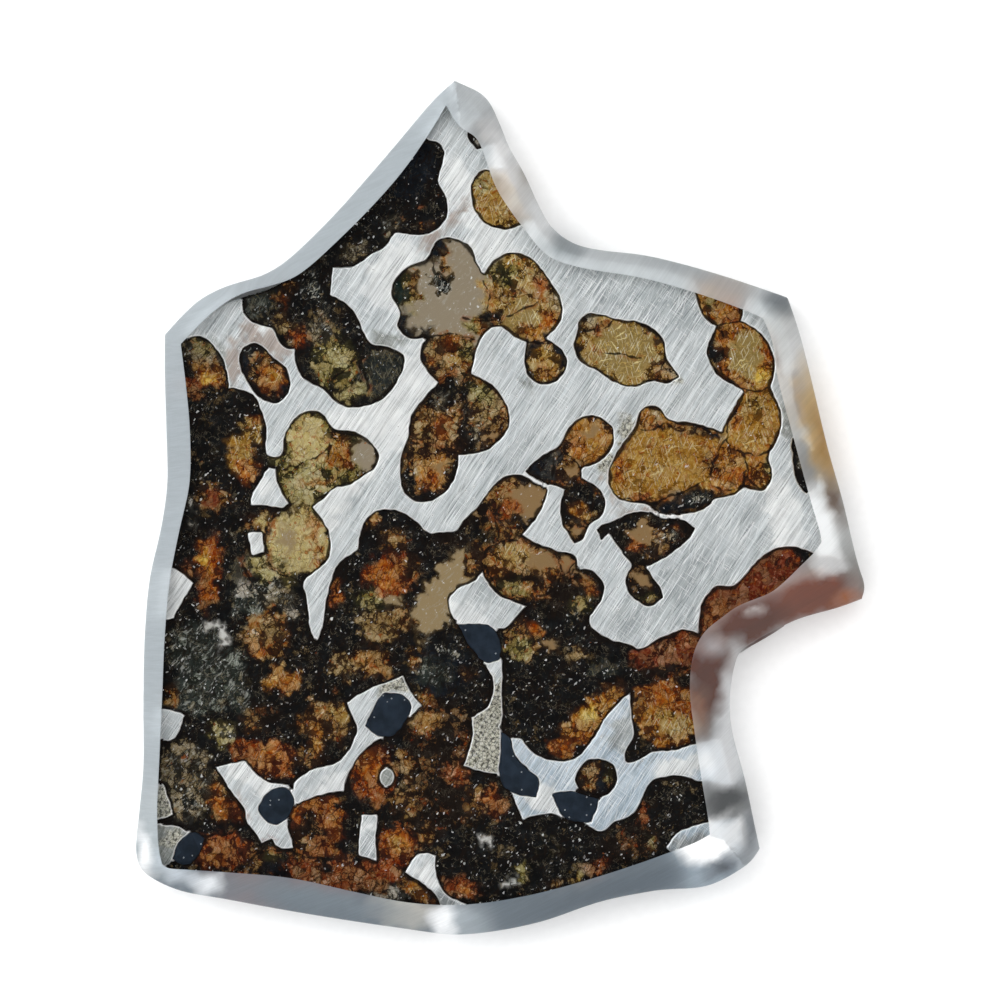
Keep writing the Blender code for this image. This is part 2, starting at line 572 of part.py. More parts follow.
# Round crystal in the lower right metal
x, y, half_width, half_height = (value * MM for value in ROUND_CRYSTAL)
turn = np.linspace(0, 2 * np.pi, ROUND_SIDES, endpoint=False)
round_outline = np.stack([x + half_width * np.cos(turn), y + half_height * np.sin(turn)], axis=1)
finish(piece_of_slice("olivine_round", round_outline, crystal_rooms), amber_olivine)
round_room = room_for("olivine_round", round_outline)

# Crystals in the main metal
olivine_rooms = []
for name, points in OLIVINE_CLUSTERS.items():
    outline = smooth_outline(points, GRAIN_STEP)
    finish(piece_of_slice(name, outline, crystal_rooms), amber_olivine)
    olivine_rooms.append(room_for(name, outline))

# Metal inside the network of crystals
island_rooms = []
for name, points in METAL_ISLANDS.items():
    outline = smooth_outline(points, GRAIN_STEP)
    finish(piece_of_slice(name, outline, [*crystal_rooms, round_room]), iron_nickel)
    island_rooms.append(room_for(name, outline))

# The network of crystals round that metal
network_outline = smooth_outline(LOWER_NETWORK, GRAIN_STEP)
network = piece_of_slice("olivine_lower_network", network_outline, island_rooms + crystal_rooms)
finish(network, amber_olivine)

# Main metal: what the crystals leave of the slice
metal = copy_of(slice_body, "metal_matrix", parts)
for room in [*olivine_rooms, room_for("network", network_outline)]:
    combine(metal, room, "DIFFERENCE")
finish(metal, iron_nickel)
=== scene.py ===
# %% [markdown]
# # A slice of pallasite, cast in clear resin
# A pallasite is a stony iron: a network of nickel iron with crystals of olivine grown into it. This one was sawn
# into a slice, polished, and cast in a block of clear resin whose edge was then ground to a slope all round.
# The CAD model holds every grain as a plain solid with a gap round it. Here the same outlines become grains that
# touch, each with the colours, cracks and specks that belong to it, inside one clear casting.

# %% Load the CAD model as a fixed frame
import math
from functools import partial

import bpy
import numpy as np
from mathutils.geometry import delaunay_2d_cdt
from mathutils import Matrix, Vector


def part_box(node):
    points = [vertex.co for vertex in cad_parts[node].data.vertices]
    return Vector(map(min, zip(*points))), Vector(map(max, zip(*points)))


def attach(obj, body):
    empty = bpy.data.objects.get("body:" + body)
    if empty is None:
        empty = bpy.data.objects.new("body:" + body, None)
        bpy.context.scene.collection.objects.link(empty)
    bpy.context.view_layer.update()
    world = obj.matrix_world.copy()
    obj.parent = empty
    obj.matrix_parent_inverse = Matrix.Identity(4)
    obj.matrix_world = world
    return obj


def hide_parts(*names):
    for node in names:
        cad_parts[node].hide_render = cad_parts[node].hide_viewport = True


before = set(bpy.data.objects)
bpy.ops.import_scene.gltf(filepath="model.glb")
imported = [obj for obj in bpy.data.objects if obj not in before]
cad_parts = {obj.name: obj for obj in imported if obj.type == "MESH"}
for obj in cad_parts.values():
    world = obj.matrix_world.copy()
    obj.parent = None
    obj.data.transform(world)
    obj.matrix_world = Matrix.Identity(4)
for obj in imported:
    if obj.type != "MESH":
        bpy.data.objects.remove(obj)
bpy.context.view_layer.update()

MM = 0.001
SLICE_LOW, SLICE_HIGH = (corner[2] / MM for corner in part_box("metal_matrix"))
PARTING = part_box("resin_lower")[1][2] / MM
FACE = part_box("resin_upper")[1][2] / MM
print(f"slice from {SLICE_LOW:.2f} to {SLICE_HIGH:.2f} mm in a block {FACE:.2f} mm high")

# %% [markdown]
# ## The outlines
# Every grain's border is already in the CAD model, as the rim of its flat top. A triangle side on that rim has no
# twin running the other way, so the rim can be picked out and walked round. It could be drawn again by hand, but
# read from the model it can't drift away from the solid that it dresses.

# %% Read the rims of flat faces
SAME_HEIGHT = 0.001


def sides_of(triangles):
    """The three sides of each triangle, as pairs of point numbers that run round it."""
    return np.concatenate([triangles[:, [0, 1]], triangles[:, [1, 2]], triangles[:, [2, 0]]])


def rims(node, height):
    """The closed rims of a node's flat faces at this height, in millimetres, the one with the largest area first.
    All run anticlockwise."""
    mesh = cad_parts[node].data
    points = np.empty(len(mesh.vertices) * 3, np.float32)
    mesh.vertices.foreach_get("co", points)
    corners = np.empty(len(mesh.loops), np.int32)
    mesh.loops.foreach_get("vertex_index", corners)
    # corners at the same place become one point
    points = (points.reshape(-1, 3).astype(float) / MM).round(4)
    points, same = np.unique(points, axis=0, return_inverse=True)
    triangles = same.reshape(-1)[corners].reshape(-1, 3)
    flat = triangles[np.all(abs(points[triangles, 2] - height) < SAME_HEIGHT, axis=1)]
    sides = sides_of(flat)
    twins = set(map(tuple, sides[:, ::-1].tolist()))
    onward = {start: end for start, end in sides.tolist() if (start, end) not in twins}
    found = []
    while onward:
        first, here = onward.popitem()
        chain = [first]
        while here != first:
            chain.append(here)
            here = onward.pop(here)
        rim = points[chain, :2]
        found.append(rim if area(rim) > 0 else rim[::-1])
    return sorted(found, key=area, reverse=True)


def area(loop):
    """Half the sum of x times the next y less the next x times y, which is positive for an anticlockwise loop."""
    x, y = loop.T
    return np.sum(x * np.roll(y, -1) - np.roll(x, -1) * y) / 2


wall_rim, pocket_rim = rims("resin_lower", PARTING)[:2]
face_rim = rims("resin_upper", FACE)[0]
slice_nodes = sorted(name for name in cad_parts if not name.startswith("resin"))
print(f"{len(slice_nodes)} grains, and a polished face of {area(face_rim):.0f} square millimetres")

# %% [markdown]
# ## Smooth borders
# The CAD rims have a corner about every 0.8 mm. A real crystal border is a smooth curve with small unevenness, and
# has sharp points only where two round grains meet. A cubic between each pair of corners gives the curve, and
# corners that turn sharply are left sharp. Then one field of gentle waves moves all borders together, so that
# neighbours still fit each other.

# %% Turn rims into smooth curves
BORDER_STEP, SHARP_TURN, EASE = 0.12, 68, 0.28
PER_SIDE, WAVES = 14, 28


def spaced(line, step, closed=True, fewest=8):
    """The line again, with a point every step along its length. A closed line ends one step before its start."""
    line = np.vstack([line, line[:1]]) if closed else line
    along = np.concatenate([[0], np.cumsum(np.linalg.norm(np.diff(line, axis=0), axis=1))])
    count = max(fewest, round(along[-1] / step) + (not closed))
    at = np.linspace(0, along[-1], count, endpoint=not closed)
    return np.stack([np.interp(at, along, line[:, axis]) for axis in (0, 1)], axis=1)


def rounded(corners, step, sharp=SHARP_TURN):
    """A smooth closed curve through the corners. From corner P to the next, Q, a distance d away, it is the cubic
    (1 + 2t)(1 - t)^2 P + t^2 (3 - 2t) Q + d t (1 - t)^2 A - d t^2 (1 - t) B, where A and B are the directions at
    the two ends. A direction is the mean of the two sides there, or the side's own at a sharp corner. Then each
    point becomes the mean of its neighbours, weighted by a bell curve as wide as EASE, but not beside a sharp
    corner."""
    side = np.roll(corners, -1, axis=0) - corners
    length = np.linalg.norm(side, axis=1, keepdims=True)
    side /= length
    last = np.roll(side, 1, axis=0)
    turn = np.degrees(np.arccos(np.clip(np.sum(side * last, axis=1, keepdims=True), -1, 1)))
    mean = side * np.roll(length, 1, axis=0) + last * length
    mean /= np.linalg.norm(mean, axis=1, keepdims=True)
    leaving = np.where(turn > sharp, side, mean)[:, None]
    arriving = np.roll(np.where(turn > sharp, last, mean), -1, axis=0)[:, None]
    start, end, d = corners[:, None], np.roll(corners, -1, axis=0)[:, None], length[:, None]
    t = np.linspace(0, 1, PER_SIDE, endpoint=False)[None, :, None]
    curve = (1 + 2 * t) * (1 - t) ** 2 * start + t * t * (3 - 2 * t) * end
    curve += d * t * (1 - t) ** 2 * leaving - d * t * t * (1 - t) * arriving
    curve = spaced(curve.reshape(-1, 2), step)
    reach = math.ceil(3 * EASE / step)
    bell = np.exp(-0.5 * (np.arange(-reach, reach + 1) * step / EASE) ** 2)
    eased = sum(weight * np.roll(curve, shift, axis=0) for shift, weight in zip(range(-reach, reach + 1), bell))
    kept = corners[turn[:, 0] > sharp]
    hold = np.ones(len(curve)) if len(kept) else np.zeros(len(curve))
    if len(kept):
        hold = np.clip(1 - np.linalg.norm(curve[:, None] - kept[None], axis=2).min(1) / (4 * EASE), 0, 1)
    return curve + (1 - hold[:, None]) * (eased / bell.sum() - curve)


def ripple(points, seed, shortest, longest, height):
    """A smooth random shift of each point along x and along y: the sum of WAVES sine waves, each with its own
    direction, its own length between shortest and longest, and a height that grows with the length."""
    draw = np.random.default_rng(seed)
    turn = draw.uniform(0, 2 * math.pi, WAVES)
    length = shortest * (longest / shortest) ** draw.uniform(0, 1, WAVES)
    waves = np.stack([np.cos(turn), np.sin(turn)]) * 2 * math.pi / length
    swing = np.sqrt(length)
    swing *= height * math.sqrt(2) / np.linalg.norm(swing)
    phase = draw.uniform(0, 2 * math.pi, (2, 1, WAVES))
    return (np.sin(points @ waves + phase) @ swing).T


def natural(loop):
    """A rim made smooth, and moved by the common waves."""
    curve = rounded(loop, BORDER_STEP)
    return curve + ripple(curve, seed=5, shortest=0.4, longest=2.5, height=0.025)


grain_rims, holes = {}, {}
for name in slice_nodes:
    grain_rims[name], *holes[name] = map(natural, rims(name, SLICE_HIGH))
slice_rim = rounded(pocket_rim, BORDER_STEP)
print(f"{sum(map(len, grain_rims.values()))} points on the borders of the grains")

# %% [markdown]
# ## One sheet of triangles, cut into grains
# If each grain were filled with triangles by itself, gaps would stay between neighbours. So all borders go into
# one Delaunay triangulation of the whole slice, and each triangle is then given to a grain: the smallest outline
# that it lies in, or, in the narrow gap between two CAD solids, the one of the two with the lower number in
# FILLS_GAPS. Where two clusters of crystals nearly touch, the gap goes to the metal, which brings back the thin
# strip of it between them.

# %% Helpers for points in the plane
STRIP_ACROSS, STRIP_UP = 1.5, 0.6
SAME_POINT = 1e-5


def distance_to(points, others, reach):
    """The distance from each point to the nearest of the others, and no more than reach. It is worked out in
    strips across x, so that each point is held only against the others that can be near it."""
    nearest = np.full(len(points), reach)
    for low in np.arange(points[:, 0].min(), points[:, 0].max() + 1e-9, STRIP_ACROSS):
        high = low + STRIP_ACROSS
        mine = np.flatnonzero((points[:, 0] >= low) & (points[:, 0] < high))
        near = others[(others[:, 0] > low - reach) & (others[:, 0] < high + reach)]
        if len(mine) and len(near):
            gap = points[mine, None] - near[None]
            nearest[mine] = np.minimum(reach, np.sqrt((gap**2).sum(2).min(1)))
    return nearest


def inside(points, loop):
    """Whether each point is inside the loop: a line from it to the right crosses the loop an odd number of times.
    It is worked out in strips across y, so that each point is held only against the sides that can cross there."""
    ax, ay = loop.T
    bx, by = np.roll(loop, -1, axis=0).T
    rise = np.where(by == ay, 1, by - ay)
    found = np.zeros(len(points), bool)
    for low in np.arange(ay.min(), ay.max(), STRIP_UP):
        mine = np.flatnonzero((points[:, 1] >= low) & (points[:, 1] < low + STRIP_UP))
        near = (np.minimum(ay, by) <= low + STRIP_UP) & (np.maximum(ay, by) >= low)
        x, y = points[mine, :1], points[mine, 1:]
        crossed = (ay[near] > y) != (by[near] > y)
        crossed &= x < ax[near] + (y - ay[near]) * (bx - ax)[near] / rise[near]
        found[mine] = crossed.sum(1) % 2 == 1
    return found


def outward(loop):
    """The unit direction that points out of an anticlockwise loop at each of its points."""
    along = np.roll(loop, -1, axis=0) - np.roll(loop, 1, axis=0)
    along /= np.linalg.norm(along, axis=1, keepdims=True)
    return np.stack([along[:, 1], -along[:, 0]], axis=1)


def scattered(loop, step, seed):
    """Points a step apart in staggered rows inside the loop, each moved at random by up to a quarter of the step."""
    low, high = loop.min(0), loop.max(0)
    x, y = np.meshgrid(np.arange(low[0], high[0], step), np.arange(low[1], high[1], step * math.sqrt(0.75)))
    x[1::2] += step / 2
    points = np.stack([x.ravel(), y.ravel()], axis=1)
    points += np.random.default_rng(seed).uniform(-step / 4, step / 4, points.shape)
    return points[inside(points, spaced(loop, 0.5))]


def triangulated(loops, extra, strands=()):
    """The Delaunay triangles of all these points, with the closed loops and the open strands kept as edges. Returns
    the points, and the triangles that lie in the last loop."""
    lines = [*loops, *strands]
    starts = np.cumsum([0, *map(len, lines)])
    links = [np.stack([np.arange(start, end), np.roll(np.arange(start, end), -1)], axis=1)[: end - start - is_open]
             for start, end, is_open in zip(starts[:-1], starts[1:], [0] * len(loops) + [1] * len(strands))]
    found = delaunay_2d_cdt(
        np.concatenate([*lines, extra]).tolist(), np.concatenate(links).tolist(), [], 0, SAME_POINT)
    points, triangles = np.array([tuple(point) for point in found[0]]), np.array(found[2])
    return points, triangles[inside(points[triangles].mean(1), loops[-1])]


# %% [markdown]
# ## Boundaries inside the clusters
# Where crystals have grown together, the CAD model holds them as one solid. On the polished face their boundaries
# still show as thin dark lines with rust along them. Each row below is one such line, as points in millimetres
# from the middle of the block, read off the face.

# %% Lay out the inner boundaries
SEAMS = [
    # upper centre cluster, lens and right cluster
    [(-1.2, 15.8), (-0.7, 14.9), (-0.9, 13.9), (-0.3, 13.0)], [(-4.8, 17.7), (-4.7, 16.5), (-4.0, 16.0)],
    [(-2.6, 13.2), (-1.6, 13.0), (-0.3, 13.1), (1.0, 13.6), (2.6, 14.3)], [(-5.2, 11.8), (-3.6, 12.2), (-1.8, 11.7)],
    [(-4.3, 8.9), (-3.6, 9.4), (-2.1, 9.3)], [(-2.7, 8.9), (-2.6, 7.1), (-3.0, 5.5), (-2.7, 4.0)],
    [(-6.3, 4.5), (-4.7, 4.3), (-3.0, 3.8)], [(1.6, 11.6), (2.5, 11.5), (3.4, 11.7)],
    [(5.3, 12.6), (6.2, 12.3), (7.5, 12.6), (7.8, 13.1)], [(10.8, 8.9), (11.4, 10.1)],
    [(6.5, 10.9), (8.6, 10.7), (9.9, 10.4)],
    [(14.8, 12.7), (15.9, 12.8), (16.9, 13.1)], [(15.3, 12.6), (15.6, 11.3), (15.3, 9.7), (16.1, 8.9), (16.9, 8.3)],
    [(17.0, 8.3), (17.9, 8.0), (18.7, 8.4)],
    [(17.2, 8.1), (16.6, 7.1), (15.9, 5.8), (15.7, 4.9), (16.1, 4.1), (17.7, 3.6), (18.7, 3.8), (19.4, 5.0)],
    [(15.7, 4.8), (15.1, 3.5), (14.4, 1.9)], [(14.4, 1.9), (15.6, 1.0), (16.9, 1.5), (17.3, 2.9), (17.0, 3.8)],
    [(17.3, 2.9), (17.4, 1.9), (18.2, 1.2)], [(8.6, 0.6), (10.6, 0.3), (12.5, 1.0), (14.3, 1.8)],
    [(10.6, 5.5), (11.7, 5.9), (13.5, 5.8), (15.3, 5.0)], [(9.9, 5.5), (10.4, 5.3), (11.4, 5.9)],
    # middle cluster
    [(3.7, 1.6), (3.5, 2.6), (4.3, 3.9)], [(4.4, 3.8), (5.5, 3.0), (5.8, 2.4), (5.5, 1.6)],
    [(4.6, -1.3), (5.5, -1.2), (6.2, -1.6)], [(4.5, 1.5), (5.4, 1.3)],
    # upper left chain
    [(-14.3, 9.3), (-13.3, 8.6), (-12.2, 8.3), (-12.0, 7.4)], [(-12.0, 8.7), (-10.7, 9.8), (-9.8, 11.0)],
    [(-9.2, 11.2), (-9.8, 10.2), (-9.2, 8.3), (-9.7, 7.4)], [(-8.0, 19.4), (-6.6, 20.6), (-5.0, 21.4), (-3.9, 22.0)],
    # left part of the network
    [(-15.2, 2.6), (-13.9, 3.1), (-12.4, 3.8), (-11.8, 4.4)], [(-11.6, 5.5), (-11.9, 4.5), (-12.0, 3.4), (-11.3, 2.6)],
    [(-15.7, -0.2), (-16.3, -1.4), (-16.4, -2.7), (-16.1, -4.0), (-15.2, -4.8), (-13.9, -5.1)],
    [(-17.7, -1.0), (-17.5, -0.1), (-16.4, 0.2), (-15.6, -0.2)],
    [(-18.2, -1.2), (-17.7, -2.3), (-18.1, -3.7), (-17.5, -5.2)],
    [(-12.0, -8.0), (-11.7, -6.3), (-11.1, -4.6), (-9.9, -3.7)], [(-20.9, -23.0), (-18.8, -22.8), (-18.3, -22.0)],
    [(-14.7, -21.8), (-14.5, -23.0), (-14.5, -24.1)], [(-10.9, -20.3), (-11.0, -22.4), (-10.9, -24.5)],
    [(-11.1, -19.6), (-10.7, -18.6), (-10.3, -17.3), (-9.0, -16.7)], [(-8.6, -22.4), (-7.3, -22.0), (-5.6, -23.5)],
    [(-17.9, -25.0), (-16.9, -24.1), (-15.4, -23.9), (-13.3, -24.5), (-11.1, -24.6)],
    [(-15.4, -13.9), (-13.7, -13.7), (-12.0, -13.1), (-10.7, -12.2)],
    # middle of the network
    [(-1.2, -3.7), (-0.9, -2.9), (-0.1, -2.4), (1.4, -2.3), (2.9, -2.7), (3.9, -3.2), (4.2, -4.2), (4.1, -5.4),
     (3.1, -6.1), (1.9, -6.6), (0.8, -6.3), (-0.3, -5.4), (-1.0, -4.4), (-1.2, -3.7)],
    [(4.1, -3.2), (4.8, -3.1), (5.3, -3.7), (4.8, -4.6), (4.2, -4.8)],
    [(4.7, -5.1), (5.7, -4.4), (6.9, -5.0), (7.2, -5.9), (6.9, -7.0), (5.7, -8.0)],
    [(-1.0, 0.7), (-0.5, -0.6), (-0.1, -2.0)],
    [(-3.0, -8.2), (-2.2, -9.7), (-1.1, -10.9), (-0.5, -12.2), (-0.9, -13.5)],
]


def strand(corners):
    """An open curve through the corners: straight from one to the next, then each point but the two at each end
    becomes the mean of itself and its two neighbours on either side, and the common kind of waves bend it."""
    curve = spaced(np.array(corners), BORDER_STEP, closed=False, fewest=4)
    padded = np.pad(curve, ((3, 3), (0, 0)), mode="edge")
    padded = sum(np.roll(padded, shift, axis=0) for shift in (-2, -1, 0, 1, 2)) / 5
    curve[2:-2] = padded[5:-5]
    return curve + ripple(curve, seed=6, shortest=0.35, longest=1.6, height=0.05)


seams = [strand(row) for row in SEAMS]
print(len(seams), "inner boundaries")

# %% Lay the sheet and give each triangle to a grain
FILLS_GAPS = {"metal_matrix": 0, "olivine": 1, "metal": 2, "chromite": 3, "olivine_round": 3}
TAKEN_BACK = {"metal_oval_fleck": 0.14, "metal_bar": 0.08, "metal_square_fleck": 0.08}
WEAR_ROUNDS = 60
SHEET_STEP, BORDER_BAND, CLEARANCE, REACH = 0.19, 0.08, 0.16, 0.35

# the oval fleck of metal is worn round, and the smallest pieces take back a part of the gap round them
fleck = grain_rims["metal_oval_fleck"]
for _ in range(WEAR_ROUNDS):
    fleck = (np.roll(fleck, 1, axis=0) + 2 * fleck + np.roll(fleck, -1, axis=0)) / 4
grain_rims["metal_oval_fleck"] = fleck
for name, much in TAKEN_BACK.items():
    grain_rims[name] += much * outward(grain_rims[name])

# the sheet's points: all borders, a band on either side of each, and a filling that keeps clear of them
loops = [*grain_rims.values(), *(hole for name in slice_nodes for hole in holes[name]), slice_rim]
borders = np.concatenate([*loops, *seams])
bands = [loop + side * BORDER_BAND * outward(loop) for loop in loops for side in (-1, 1)]
bands += [seam[1:-1] + side * BORDER_BAND * outward(seam)[1:-1] for seam in seams for side in (-1, 1)]
bands = np.concatenate(bands)
bands = bands[distance_to(bands, borders, REACH) > 0.9 * BORDER_BAND]
filling = scattered(slice_rim, SHEET_STEP, seed=11)
filling = filling[distance_to(filling, borders, REACH) > CLEARANCE]
sheet, triangles = triangulated(loops, np.concatenate([bands, filling]), seams)

# a triangle belongs to the smallest outline that its middle lies in
middles = sheet[triangles].mean(1)
within = np.stack([inside(middles, rim) for rim in grain_rims.values()])
for row, name in zip(within, slice_nodes):
    for hole in holes[name]:
        row &= ~inside(middles, hole)
areas = np.array([area(rim) for rim in grain_rims.values()])
owner = np.where(within, areas[:, None], np.inf).argmin(0)

# one in a gap goes by the numbers of the two nearest grains, or to the nearest if there is no second within reach
stray = np.flatnonzero(~within.any(0))
middles = middles[stray]
gaps = np.stack([distance_to(middles, np.vstack([grain_rims[name], *holes[name]]), REACH) for name in slice_nodes])
rank = np.array([FILLS_GAPS.get(name, FILLS_GAPS[name.split("_")[0]]) for name in slice_nodes])
first, second = np.argsort(gaps, axis=0)[:2]
apart = gaps[second, np.arange(len(stray))] >= REACH
matrix, network = slice_nodes.index("metal_matrix"), slice_nodes.index("olivine_lower_network")
keeper = np.where(rank[first] < rank[second], first, second)
between = np.where(rank[first] == FILLS_GAPS["olivine"], matrix, network)
keeper = np.where(rank[first] == rank[second], between, keeper)
owner[stray] = np.where(apart, first, keeper)
print(f"{len(triangles)} triangles in the sheet, {len(stray)} of them in gaps")

# %% [markdown]
# ## How far it is to the border
# Polishing wears a soft edge where metal meets crystal. On the metal beside each crystal it shows as a painted
# highlight, a bright line where that edge would catch the light, with a painted thin shadow at the border, and the
# crystal has a dark rim, so the materials have to know how far a point is from the border. The distance is stored
# at each vertex, and Blender blends it across each triangle.

# %% Measure the distance to the nearest border
EDGE_REACH = 1.2

# a side lies on a border if its twin belongs to another grain, or if it has no twin
sides = sides_of(triangles)
side_owner = np.tile(owner, 3)
key = np.sort(sides, axis=1) @ np.array([len(sheet), 1])
ranked = np.argsort(key, kind="stable")
paired = key[ranked][1:] == key[ranked][:-1]
differ = side_owner[ranked][1:] != side_owner[ranked][:-1]
single = np.ones(len(key), bool)
single[1:] &= ~paired
single[:-1] &= ~paired
border_sides = sides[np.concatenate([ranked[1:][paired & differ], ranked[single]])]
on_border = np.zeros(len(sheet), bool)
on_border[border_sides] = True


def filled_in(starts, ends):
    """Four points on each line from a start to its end: the start, and those at 1/4, 1/2 and 3/4 of the way."""
    return np.concatenate([(1 - t) * starts + t * ends for t in (0, 0.25, 0.5, 0.75)])


edge = distance_to(sheet, filled_in(*sheet[border_sides.T]), EDGE_REACH)
edge[on_border] = 0
seam_points = np.concatenate([filled_in(line[:-1], line[1:]) for line in seams])
seam = distance_to(sheet, seam_points, EDGE_REACH)
print(f"{len(border_sides)} sides lie on a border")

# %% [markdown]
# ## Colours
# A colour is written as the eye sees it on a screen, in hex, and turned into the linear light that Blender
# reckons in. Stone under resin looks darker and stronger in colour than bare stone, because light that leaves it
# at a slant is thrown back by the surface of the resin. So each stone colour is given as it shows in the finished
# block, and one function finds the bare stone that would show like that.

# %% From hex to linear, and from seen colour to bare stone
LIGHT_LEVEL = 1.3
PASSED, THROWN_BACK = 0.384, 0.6


def linear(colour):
    """Each channel c of the hex colour, from 0 to 1, becomes c / 12.92 up to 0.04045 and ((c + 0.055) / 1.055)^2.4
    above it."""
    c = np.array([int(colour[i : i + 2], 16) / 255 for i in (1, 3, 5)])
    return np.where(c <= 0.04045, c / 12.92, ((c + 0.055) / 1.055) ** 2.4)


def under_resin(bare):
    """Bare stone of reflectance a shows as PASSED a / (1 - THROWN_BACK a) under resin, times the light on it."""
    return LIGHT_LEVEL * PASSED * bare / (1 - THROWN_BACK * bare)


def beneath(colour):
    """The bare stone that shows as this hex colour under resin: the formula above, solved for a."""
    shown = linear(colour) / LIGHT_LEVEL
    return np.minimum(0.95, shown / (PASSED + THROWN_BACK * shown))


# %% [markdown]
# ## The looks of olivine
# Olivine that is fresh is a clear honey yellow. Rust from the metal has crept in along its cracks, so the same
# crystal can pass from gold through amber and red brown to nearly black. Each look below has a colour for the
# ground, one for the fragments that lie in it, and then the share of fragments, the amounts of white specks, of
# pale needles with painted glints, and of rust along the cracks, which also brings some painted glints, and how
# calm it is: 1 is a clear window without any cracks.

# %% Name the looks
LOOKS = {
    #                   ground     fragments  share specks needles_and_glints rust calm
    "night":  ("#090A0B", "#3E3A30", 0.12, 0.80, 0.00, 0.05, 0.0),
    "ink":    ("#0A0E13", "#1F262E", 0.20, 0.30, 0.00, 0.00, 0.2),
    "slate":  ("#101212", "#1D201F", 1.20, 0.50, 0.20, 0.00, 0.8),
    "pepper": ("#0E1010", "#B4B0A0", 0.28, 1.00, 0.10, 0.00, 0.0),
    "moss":   ("#1F2320", "#7C8178", 0.12, 1.00, 0.05, 0.00, 0.0),
    "teal":   ("#0E1A18", "#2E4238", 0.45, 0.20, 0.00, 0.00, 0.4),
    "stone":  ("#221F19", "#867C66", 0.42, 0.90, 0.00, 0.15, 0.0),
    "smoke":  ("#120D0A", "#644A34", 0.26, 0.40, 0.05, 0.40, 0.0),
    "umber":  ("#1E120B", "#8A6A42", 0.48, 0.30, 0.10, 0.50, 0.0),
    "brown":  ("#271508", "#987244", 0.64, 0.25, 0.20, 0.60, 0.0),
    "clay":   ("#2A1C0F", "#988058", 0.88, 0.20, 0.05, 0.30, 0.2),
    "bronze": ("#382614", "#7A5F3E", 1.50, 0.50, 0.00, 0.00, 1.0),
    "tan":    ("#4A3A24", "#867150", 1.50, 0.90, 0.00, 0.00, 1.0),
    "taupe":  ("#55462F", "#80735F", 1.50, 0.90, 0.00, 0.00, 1.0),
    "ash":    ("#3A3934", "#C4C0B4", 0.90, 0.40, 0.00, 0.00, 0.2),
    "pale":   ("#9A9890", "#D6D5CE", 1.50, 0.20, 0.00, 0.00, 1.0),
    "olive":  ("#211F10", "#8C8150", 0.68, 0.30, 0.30, 0.20, 0.1),
    "khaki":  ("#302B17", "#A39766", 1.00, 0.30, 0.40, 0.15, 0.3),
    "wheat":  ("#4A3820", "#7C6639", 1.35, 0.25, 1.00, 0.10, 0.8),
    "straw":  ("#6A5630", "#BAA468", 1.35, 0.20, 0.60, 0.40, 0.5),
    "gold":   ("#3A260C", "#96753C", 1.05, 0.15, 1.00, 0.40, 0.3),
    "honey":  ("#5A3A10", "#966B2C", 1.25, 0.20, 0.70, 0.30, 0.45),
    "yellow": ("#8A6418", "#E8B448", 1.50, 0.10, 0.60, 0.00, 0.5),
    "amber":  ("#3A1E09", "#A06A2C", 0.92, 0.15, 0.50, 0.60, 0.2),
    "orange": ("#451E08", "#A45E22", 0.92, 0.12, 0.30, 0.80, 0.2),
    "flame":  ("#30140A", "#8E4C22", 0.82, 0.12, 0.20, 0.60, 0.2),
    "rust":   ("#2C150C", "#8C5030", 0.74, 0.20, 0.10, 0.50, 0.0),
    "blood":  ("#28100A", "#642E1C", 1.20, 0.20, 0.00, 0.40, 0.4),
}
print(len(LOOKS), "looks of olivine")

# %% [markdown]
# ## Where each look lies
# Each grain starts from one look and gets soft ovals of others laid over it, in order, as a painter would lay
# them. A row is a look, the middle of the oval, its two half widths, all in millimetres from the middle of the
# block, and its turn in degrees if it has one. The ovals' edges are broken up by the same kind of waves that bend
# the borders.

